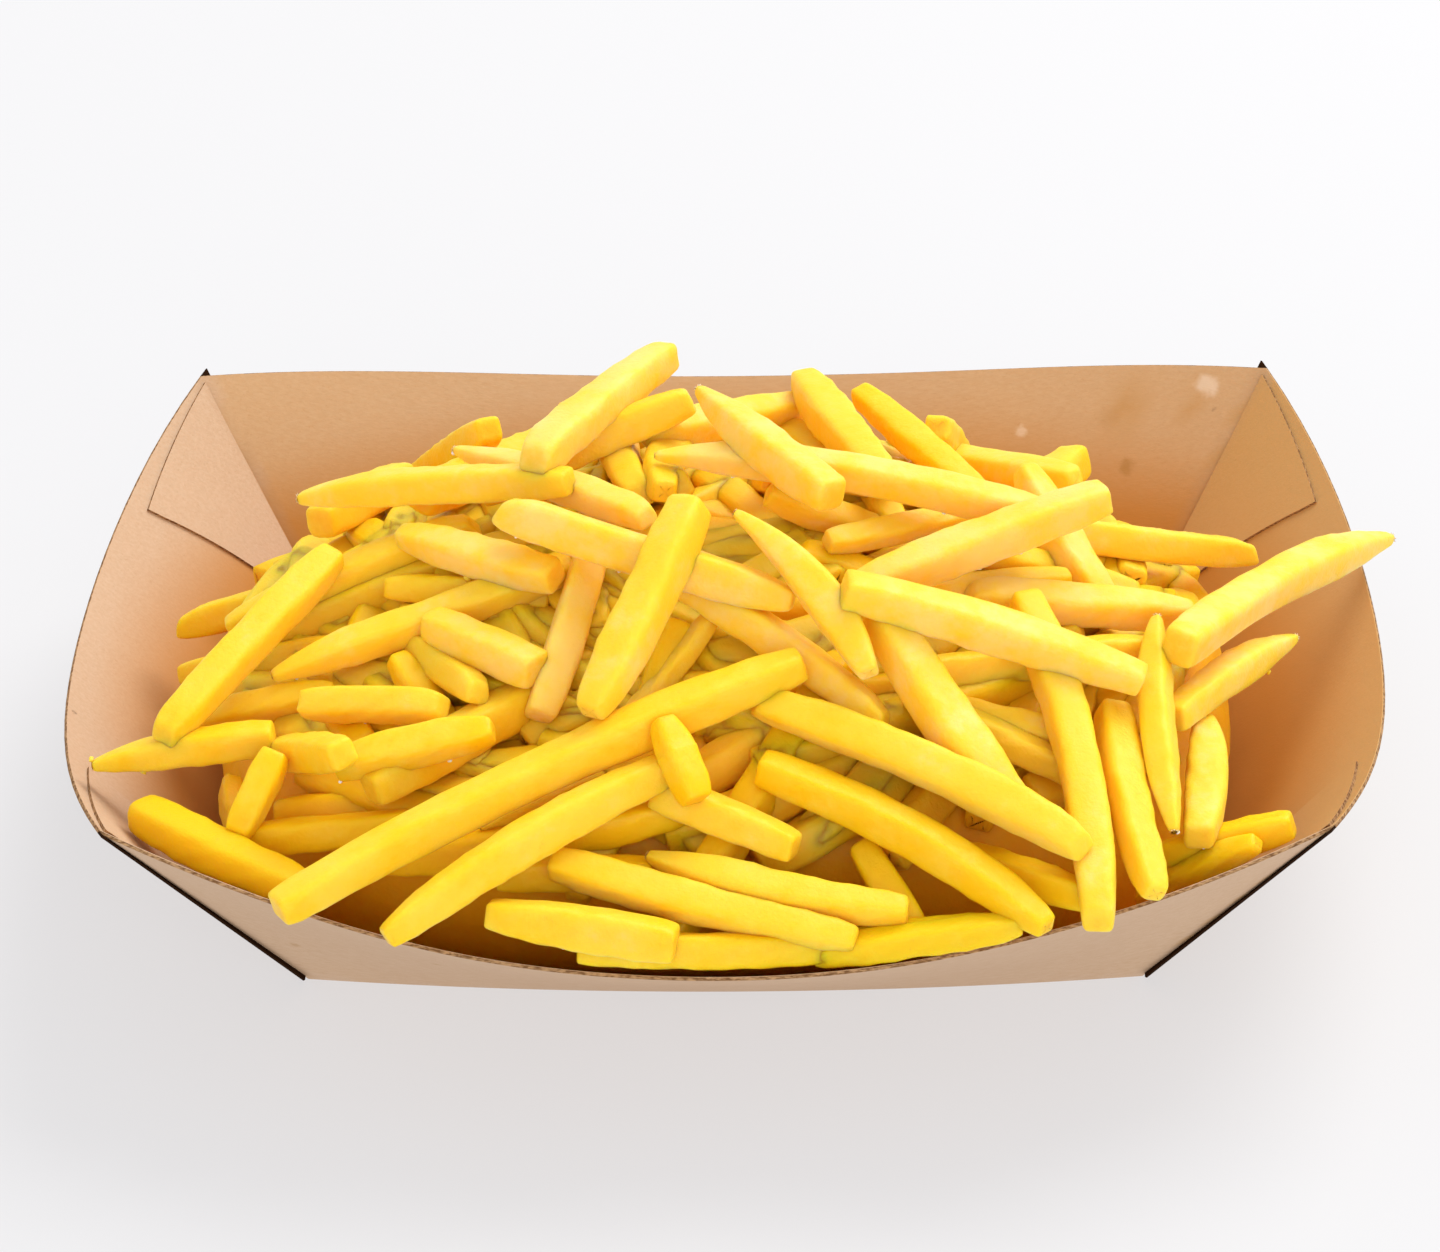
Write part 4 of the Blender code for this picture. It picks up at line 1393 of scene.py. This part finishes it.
@dataclass
class Heap:
    """The heaped fries: the settled ones that show, hidden ones under them, and a core under all."""

    form: HeapForm
    roll_seed: int = 3
    roll_most: float = 28.0
    shape_seed: int = 11
    hidden_count: int = 170
    hidden_stray: float = 38.0
    hidden_shorter: float = 0.42
    hidden_depth: float = 12.5
    hidden_reach: tuple = (88.0, 69.0)
    hidden_least: float = -3.0
    core_half_length: float = 97.0
    core_half_width: float = 74.0
    core_gap: float = 2.5
    thinning: float = 0.07
    taper_most: float = 0.22
    bow_most: float = 1.6
    dent: float = 0.22
    depth_shade_from: float = 9.0
    depth_shade_fade: float = 12.0
    # Tone ranges by layer: random tone, and painted shade that makes lower layers more golden.
    layer_tones_and_shade: ClassVar[dict] = {"fries_under": (0.5, 0.85), "fries_lower": (0.25, 0.6), "fries_top": (0.0, 0.3)}
    cut_shares: ClassVar[tuple] = (
        (0.40, EndCut.SQUARE), (0.62, EndCut.SLANTED), (0.80, EndCut.BROKEN), (1.0, EndCut.ROUNDED),
    )
    # Hidden fries are given deep tones as painted shade.
    hidden_tones_and_shade: tuple = (0.6, 0.95)
    hidden_roll: float = 0.5
    front_shade_tone: float = 0.60
    front_shade_from: float = 35.0
    left_tone: float = 0.40
    left_from: float = 25.0
    tone_fade: float = 45.0
    golden_share: float = 0.14
    golden_tone: float = 0.35
    edge_from: float = 1.45
    edge_fade: float = 0.35
    tip_reach: float = 1.6
    side_shade_from: float = 0.80
    side_shade_fade: float = 0.70
    ends_share: float = 0.8
    ends_inset: float = 0.125
    overhang_share: float = 0.5
    tangent_step: float = 0.5
    bow_full_half: float = 25.0
    bow_level: float = 0.45
    taper_power: float = 2.5
    twist_most: float = math.radians(5)
    twist_wave: float = 17.0
    dent_waves: tuple = (3.1, 4.7, 1.9)
    fullness: float = 0.985
    long_loss: float = 0.012
    long_fry: float = 60.0
    wide_waves: tuple = (6.1, 13.7)
    deep_waves: tuple = (7.3, 15.1)
    masters: dict = field(default_factory=dict)

    def _master(self, behind: EndCut, ahead: EndCut, smoothing: int) -> tuple[MasterFry, bpy.types.Object]:
        """The model fry with these ends, made the first time that it is asked for."""
        key = (behind, ahead, smoothing)
        if key not in self.masters:
            plan = MasterFry(behind, ahead, smoothing)
            self.masters[key] = (plan, plan.build())
        return self.masters[key]

    def _choose_cut(self, letter: str, draw: random.Random) -> EndCut:
        """An end's shape from its letter in the rows and a draw."""
        drawn = draw.random()
        if letter == "t":
            return EndCut.TAPERED
        return next(cut for most, cut in self.cut_shares if drawn < most)

    def lay(
        self, one: LaidFry, roll: float, tone: float, draw: random.Random, smoothing: int = 1
    ) -> bpy.types.Object:
        """Copies the right model fry and bends the copy along a laid fry.

        Args:
            one: The laid fry.
            roll: Its turn about its own line.
            tone: How golden it is, 0 to 1, partly as painted shade.
            draw: Where its own unevenness is drawn from.
            smoothing: How often its model's faces are divided, 0 for one that hardly shows.

        Returns:
            The fry.
        """
        cuts = [self._choose_cut(letter, draw) for letter in one.fry.ends]
        plan, master = self._master(cuts[0], cuts[1], smoothing)
        item = copy_of(master)
        shape = mesh_points(item)
        run = self._runs(one, plan, cuts, shape[:, 0])
        middle = one.line(run)
        bow = draw.uniform(-self.bow_most, self.bow_most) * min(1.0, one.half / self.bow_full_half)
        ahead = one.line(run + self.tangent_step) - one.line(run - self.tangent_step)
        ahead /= np.linalg.norm(ahead, axis=1, keepdims=True)
        across = np.cross(ahead, np.array([0.0, 0.0, 1.0]))
        across /= np.linalg.norm(across, axis=1, keepdims=True)
        upward = np.cross(across, ahead)
        share = run / one.half
        middle = middle + across * (bow * (self.bow_level - share * share))[:, None]
        sideways, up = self._cross_section(one, roll, run, shape, draw)
        place_points(item, (middle + across * sideways[:, None] + upward * up[:, None]) * MM)
        self._mark(item, one, shape, run, tone)
        return item

    def _runs(self, one: LaidFry, plan: MasterFry, cuts: list[EndCut], place: np.ndarray) -> np.ndarray:
        """Where the model fry's points come along a laid fry, with its ends kept in proportion.

        Args:
            one: The laid fry.
            plan: The model fry.
            cuts: Its two ends.
            place: Its points' places along it.

        Returns:
            Their runs from the laid fry's middle, in millimetres.
        """
        zones = [plan.zone(cut) for cut in cuts]
        shrink = min(1.0, self.ends_share * (one.fry.length / one.radius) / sum(zones))
        kept = [zone * shrink * one.radius for zone in zones]
        far = plan.half_length
        stops = (-far, zones[0] - far, far - zones[1], far)
        reach = (-one.half, kept[0] - one.half, one.half - kept[1], one.half)
        overhang = place - np.clip(place, -far, far)
        run = np.interp(place, stops, reach) + overhang * one.radius * self.overhang_share
        return run * (1 - self.ends_inset * one.radius / one.half)

    def _thinned(self, run: np.ndarray, waves: tuple, phases: list[float]) -> np.ndarray:
        """The share of its full thickness that a fry has along its run, from two waves."""
        first, second = (np.sin(run / wave + phase) for wave, phase in zip(waves, phases))
        return 1 - self.thinning * (1 + first * 0.6 + second * 0.4)

    def _cross_section(
        self, one: LaidFry, roll: float, run: np.ndarray, shape: np.ndarray, draw: random.Random
    ) -> tuple[np.ndarray, np.ndarray]:
        """How far each point lies to the side of a fry's line and above it, with the fry's unevenness.

        Args:
            one: The laid fry.
            roll: Its turn about its own line.
            run: Its points' runs.
            shape: The model fry's points.
            draw: Where its unevenness is drawn from.

        Returns:
            The two distances, in millimetres.
        """
        share = run / one.half
        phase = [draw.uniform(0, 2 * math.pi) for _ in range(8)]
        narrowing = [draw.uniform(0, self.taper_most) for _ in range(2)]
        slim = 1 - narrowing[0] * np.clip(-share, 0, 1) ** self.taper_power
        slim -= narrowing[1] * np.clip(share, 0, 1) ** self.taper_power
        twist = roll + self.twist_most * np.sin(run / self.twist_wave + phase[0])
        a = shape[:, 1] * self._thinned(run, self.wide_waves, phase[1:3])
        b = shape[:, 2] * self._thinned(run, self.deep_waves, phase[3:5])
        across, along, fine = (run / wave for wave in self.dent_waves)
        hollow = self.dent * (
            np.sin(across + 2.2 * a + phase[5]) * np.sin(along - 2.6 * b + phase[6])
            + 0.6 * np.sin(fine + 4.1 * a - 3.3 * b + phase[7])
        )
        full = one.radius * (self.fullness - self.long_loss * one.fry.length / self.long_fry)
        size = (full - np.abs(hollow)) * slim
        return (a * np.cos(twist) - b * np.sin(twist)) * size, (a * np.sin(twist) + b * np.cos(twist)) * size

    def _mark(
        self, item: bpy.types.Object, one: LaidFry, shape: np.ndarray, run: np.ndarray, tone: float
    ) -> None:
        """Stores what the finish reads: tone, turned-away faces and depth in the heap for its painted shade,
        edges and tips.
        """
        mark_evenly(item, tone=tone)
        item.data.update()
        # side: faces turned away from above, for the finish's painted shade.
        mark_points(item, "side", np.clip((self.side_shade_from - mesh_normals(item)[:, 2]) / self.side_shade_fade, 0, 1))
        points = mesh_points(item) / MM
        # depth: how far a point lies under the heap's even top, for painted shade.
        below = self.form.height(points[:, 0], points[:, 1]) - points[:, 2]
        mark_points(item, "depth", np.clip((below - self.depth_shade_from) / self.depth_shade_fade, 0, 1))
        outer = np.abs(shape[:, 1]) + np.abs(shape[:, 2])
        mark_points(item, "edge", np.clip((outer - self.edge_from) / self.edge_fade, 0, 1))
        to_end = (one.half - np.abs(run)) / one.radius
        mark_points(item, "tip", np.clip(1 - to_end / self.tip_reach, 0, 1))

    def build(self) -> list[bpy.types.Object]:
        """Lays every fry.

        Returns:
            The pieces: fries under, lower and on top, and the hidden ones over the core.
        """
        settling = Settling(self.form)
        laid = settling.lay_all()
        spread_count = settling.under_count + settling.behind_count
        rolls = random.Random(self.roll_seed)
        draw = random.Random(self.shape_seed)
        lower_count = spread_count + len(LOWER_FRIES)
        groups: dict[str, list] = {name: [] for name in self.layer_tones_and_shade}
        for index, one in enumerate(laid):
            roll = math.radians(rolls.uniform(-self.roll_most, self.roll_most))
            if index < spread_count:
                name = "fries_under"
            elif index < lower_count:
                name = "fries_lower"
            else:
                name = "fries_top"
            tone = draw.uniform(*self.layer_tones_and_shade[name])
            # Painted shade: fries towards the front, in the shade of the light from behind, are made more
            # golden; fries towards the left end are made more golden too.
            tone += self.front_shade_tone * min(1.0, max(0.0, (-one.fry.y - self.front_shade_from) / self.tone_fade))
            tone += self.left_tone * min(1.0, max(0.0, (-one.fry.x - self.left_from) / self.tone_fade))
            if draw.random() < self.golden_share:
                tone += self.golden_tone
            groups[name].append(self.lay(one, roll, tone, draw))
        groups["fries_hidden"] = self._hidden(draw)
        pieces = [join_pieces(items, name) for name, items in groups.items()]
        drop([master for _, master in self.masters.values()])
        for piece in pieces:
            smooth(piece)
        return pieces

    def _hidden(self, draw: random.Random) -> list[bpy.types.Object]:
        """Fries below the ones that show, which close the gaps between them."""
        fries = Settling.spread(self.hidden_count, (0.0, 0.0), (1.0, 1.0), self.hidden_depth, draw)
        items = []
        for fry in fries:
            tangent = math.degrees(math.atan2(self.hidden_reach[1] * fry.x, -self.hidden_reach[0] * fry.y))
            heading = tangent + fry.heading * self.hidden_stray / 90
            x, y = self._squared(fry.x, fry.y)
            place = {"x": self.hidden_reach[0] * float(x), "y": self.hidden_reach[1] * float(y)}
            length = fry.length * (1 - self.hidden_shorter * (fry.x**2 + fry.y**2))
            one = LaidFry(fry._replace(heading=heading, length=length, **place), 1.0, self.form)
            one.clear_dish()
            one.height += max(0.0, float((one.floor - one.z()).max()))
            over = one.z() + one.radius - self.form.height(one.x, one.y)
            if float(over.max()) > -self.hidden_least:
                continue
            roll = draw.uniform(-self.hidden_roll, self.hidden_roll)
            items.append(self.lay(one, roll, draw.uniform(*self.hidden_tones_and_shade), draw, 0))
        return items

    @staticmethod
    def _squared(x: Any, y: Any) -> tuple:
        """Plan places within a circle pushed out towards those of a rounded square."""
        rounded = (np.abs(x) ** 3 + np.abs(y) ** 3) ** (1 / 3)
        stretch = np.maximum(np.hypot(x, y), 1e-6) / np.maximum(rounded, 1e-6)
        return x * stretch, y * stretch

    def build_core(self) -> bpy.types.Object:
        """The mound under the hidden fries, which nothing is seen through, coloured as fries in full painted
        shade.
        """
        start_clean()
        bpy.ops.mesh.primitive_uv_sphere_add(segments=64, ring_count=32, radius=1.0)
        core = bpy.context.active_object
        core.name = "heap_core"
        ball = mesh_points(core)
        across, along = self._squared(ball[:, 0], ball[:, 1])
        x, y = across * self.core_half_length, along * self.core_half_width
        top = self.form.height(x, y) - self.form.core_depth
        bottom = self.form.dish_height(x, y) + self.core_gap
        share = np.clip(0.5 + 1.6 * ball[:, 2], 0, 1)
        z = bottom + (np.maximum(top, bottom + 0.5) - bottom) * share
        place_points(core, np.stack([x, y, z], axis=-1) * MM)
        # The core takes the fries' colour in full painted shade.
        mark_evenly(core, tone=1.0, edge=0.0, tip=0.0, side=1.0, depth=1.0)
        smooth(core)
        return core


@dataclass
class Scatter:
    """Loose grains: salt on the fries and the back wall, and crumbs of potato."""

    seed: int = 5
    salt_count: int = 80
    crumb_count: int = 22
    salt_grain: Grain = field(default_factory=lambda: Grain(0.7, 0.10, 2))
    salt_sizes: tuple = (0.55, 1.1)
    crumb_grain: Grain = field(default_factory=lambda: Grain(1.3, 0.18, 6))
    crumb_sizes: tuple = (0.5, 1.0)
    top: float = 92.0
    upward: float = 0.75
    wall_salt: tuple = (
        (28.6, 99.6, 39.5), (29.9, 99.0, 39.0), (27.5, 98.6, 38.6), (33.7, 100.1, 41.0), (31.0, 98.2, 38.4),
        (36.8, 91.8, 34.4), (41.0, 89.4, 33.2), (39.4, 90.6, 33.8), (44.1, 87.3, 32.0),
    )

    def _strew(
        self, name: str, grain: Grain, places: list, sizes: tuple, draw: random.Random
    ) -> bpy.types.Object:
        """Copies one grain to many places, each turned and sized by a draw.

        Args:
            name: The piece's name.
            grain: The grain to copy.
            places: Where the copies go, in millimetres.
            sizes: The least and the greatest size, in the grain's own.
            draw: Where the turns and the sizes come from.

        Returns:
            The piece.
        """
        master = grain.build()
        shape = mesh_points(master)
        copies = []
        for place in places:
            item = copy_of(master)
            axis = Vector([draw.uniform(-1, 1) for _ in range(3)])
            turn = np.array(Matrix.Rotation(draw.uniform(0, math.pi), 3, axis))
            grown = shape * np.array([draw.uniform(*sizes) for _ in range(3)])
            place_points(item, grown @ turn.T + np.array(place) * MM)
            # Crumbs take a little of the fries' painted side shade.
            mark_evenly(item, tone=0.9, edge=0.0, tip=0.0, side=0.3, depth=0.0)
            copies.append(item)
        drop([master])
        return join_pieces(copies, name)

    def _on_fries(self, fries: bpy.types.Object, count: int, draw: random.Random) -> list:
        """Places on the upper faces of the fries on top."""
        points = mesh_points(fries) / MM
        facing_up = mesh_normals(fries)[:, 2]
        upper = np.nonzero((facing_up > self.upward) & (points[:, 2] < self.top))[0]
        return [tuple(points[upper[draw.randrange(len(upper))]]) for _ in range(count)]

    def build_salt(self, fries: bpy.types.Object) -> bpy.types.Object:
        """The salt."""
        draw = random.Random(self.seed)
        places = self._on_fries(fries, self.salt_count, draw) + list(self.wall_salt)
        return self._strew("salt", self.salt_grain, places, self.salt_sizes, draw)

    def build_crumbs(self, fries: bpy.types.Object) -> bpy.types.Object:
        """The crumbs."""
        draw = random.Random(self.seed + 1)
        places = self._on_fries(fries, self.crumb_count, draw)
        return self._strew("crumbs", self.crumb_grain, places, self.crumb_sizes, draw)


# The light, the floor and the view


class SoftBox(NamedTuple):
    """One square area light: its place and width in metres, its power in watts and its colour."""

    name: str
    place: tuple
    width: float
    power: float
    colour: tuple


@dataclass
class Studio:
    """The pale floor, the soft light and the camera, which comes from the tray's corners in the photo."""

    elevation: float = math.radians(33.992)
    yaw: float = math.radians(2.093)
    roll: float = math.radians(-1.505)
    distance: float = 967.468
    target: tuple = (-3.402, 67.29, 0.0)
    focal_pixels: float = 4595.574
    photo_width: float = 1440.0
    sensor: float = 36.0
    floor_half: float = 3.0
    sky_colour: tuple = (0.97, 0.98, 1.0, 1.0)
    sky_strength: float = 0.83
    light_target: tuple = (0, 0, 0.04)
    lights: tuple = (
        SoftBox("above_behind", (0.65, 0.75, 1.35), 1.1, 23.0, (1.0, 0.99, 0.97)),
        SoftBox("front_fill", (0.2, -1.3, 0.5), 1.2, 7.5, (1.0, 1.0, 1.0)),
    )

    def build_camera(self) -> None:
        """Places the camera."""
        lens = bpy.data.cameras.new("View")
        lens.sensor_fit = "HORIZONTAL"
        lens.sensor_width = self.sensor
        lens.lens = self.focal_pixels * self.sensor / self.photo_width
        lens.clip_start = 0.01
        lens.clip_end = 20.0
        camera = bpy.data.objects.new("View", lens)
        bpy.context.scene.collection.objects.link(camera)
        back = Vector((
            math.sin(self.yaw) * math.cos(self.elevation),
            -math.cos(self.yaw) * math.cos(self.elevation),
            math.sin(self.elevation),
        ))
        right = (-back).cross(Vector((0, 0, 1))).normalized()
        up = right.cross(-back)
        turned_right = right * math.cos(self.roll) + up * math.sin(self.roll)
        turned_up = up * math.cos(self.roll) - right * math.sin(self.roll)
        place = (Vector(self.target) + back * self.distance) * MM
        turn = Matrix((turned_right, turned_up, back)).transposed()
        camera.matrix_world = Matrix.Translation(place) @ turn.to_4x4()
        bpy.context.scene.camera = camera

    def build_floor(self) -> bpy.types.Object:
        """The plain floor, under the tray's base."""
        start_clean()
        bpy.ops.mesh.primitive_grid_add(x_subdivisions=4, y_subdivisions=4, size=2 * self.floor_half)
        floor = bpy.context.active_object
        floor.name = "floor"
        floor.data.materials.append(StudioFloor().material())
        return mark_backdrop(floor)

    def _soft_box(self, box: SoftBox) -> None:
        """One area light turned to the heap."""
        light = bpy.data.lights.new(box.name, "AREA")
        light.shape = "SQUARE"
        light.size = box.width
        light.energy = box.power
        light.color = box.colour
        item = bpy.data.objects.new(box.name, light)
        bpy.context.scene.collection.objects.link(item)
        item.location = box.place
        aim = Vector(self.light_target) - Vector(box.place)
        item.rotation_euler = aim.to_track_quat("-Z", "Y").to_euler()

    def build_light(self) -> None:
        """The bright surroundings and the soft boxes."""
        world = bpy.data.worlds.new("Surroundings")
        bpy.context.scene.world = world
        world.use_nodes = True
        sky = world.node_tree.nodes["Background"]
        sky.inputs["Color"].default_value = self.sky_colour
        sky.inputs["Strength"].default_value = self.sky_strength
        for box in self.lights:
            self._soft_box(box)

    def set_tones(self) -> None:
        """Shows plain display colours, so that bright yellows keep their colour."""
        bpy.context.scene.view_settings.view_transform = "Standard"


def main() -> None:
    """Builds the scene."""
    logging.basicConfig(level=logging.INFO, format="%(name)s %(message)s")
    studio = Studio()
    studio.build_camera()
    studio.build_floor()
    studio.build_light()
    studio.set_tones()

    tray = PaperTray(finishes=(KraftBoard().material(), CutBoard().material(), SlotShade().material()))
    for piece in (tray.build_sheet(), tray.build_flaps(), tray.build_end_skins()):
        dress(piece, [], "carton")

    potato = FriedPotato().material()
    heap = Heap(HeapForm(tray))
    fries = heap.build()
    for piece in [*fries, heap.build_core()]:
        dress(piece, [potato], "fries")
    scatter = Scatter()
    on_top = next(piece for piece in fries if piece.name == "fries_top")
    dress(scatter.build_salt(on_top), [Salt().material()], "fries")
    dress(scatter.build_crumbs(on_top), [potato], "fries")

    bpy.context.view_layer.update()


if __name__ == "__main__":
    main()
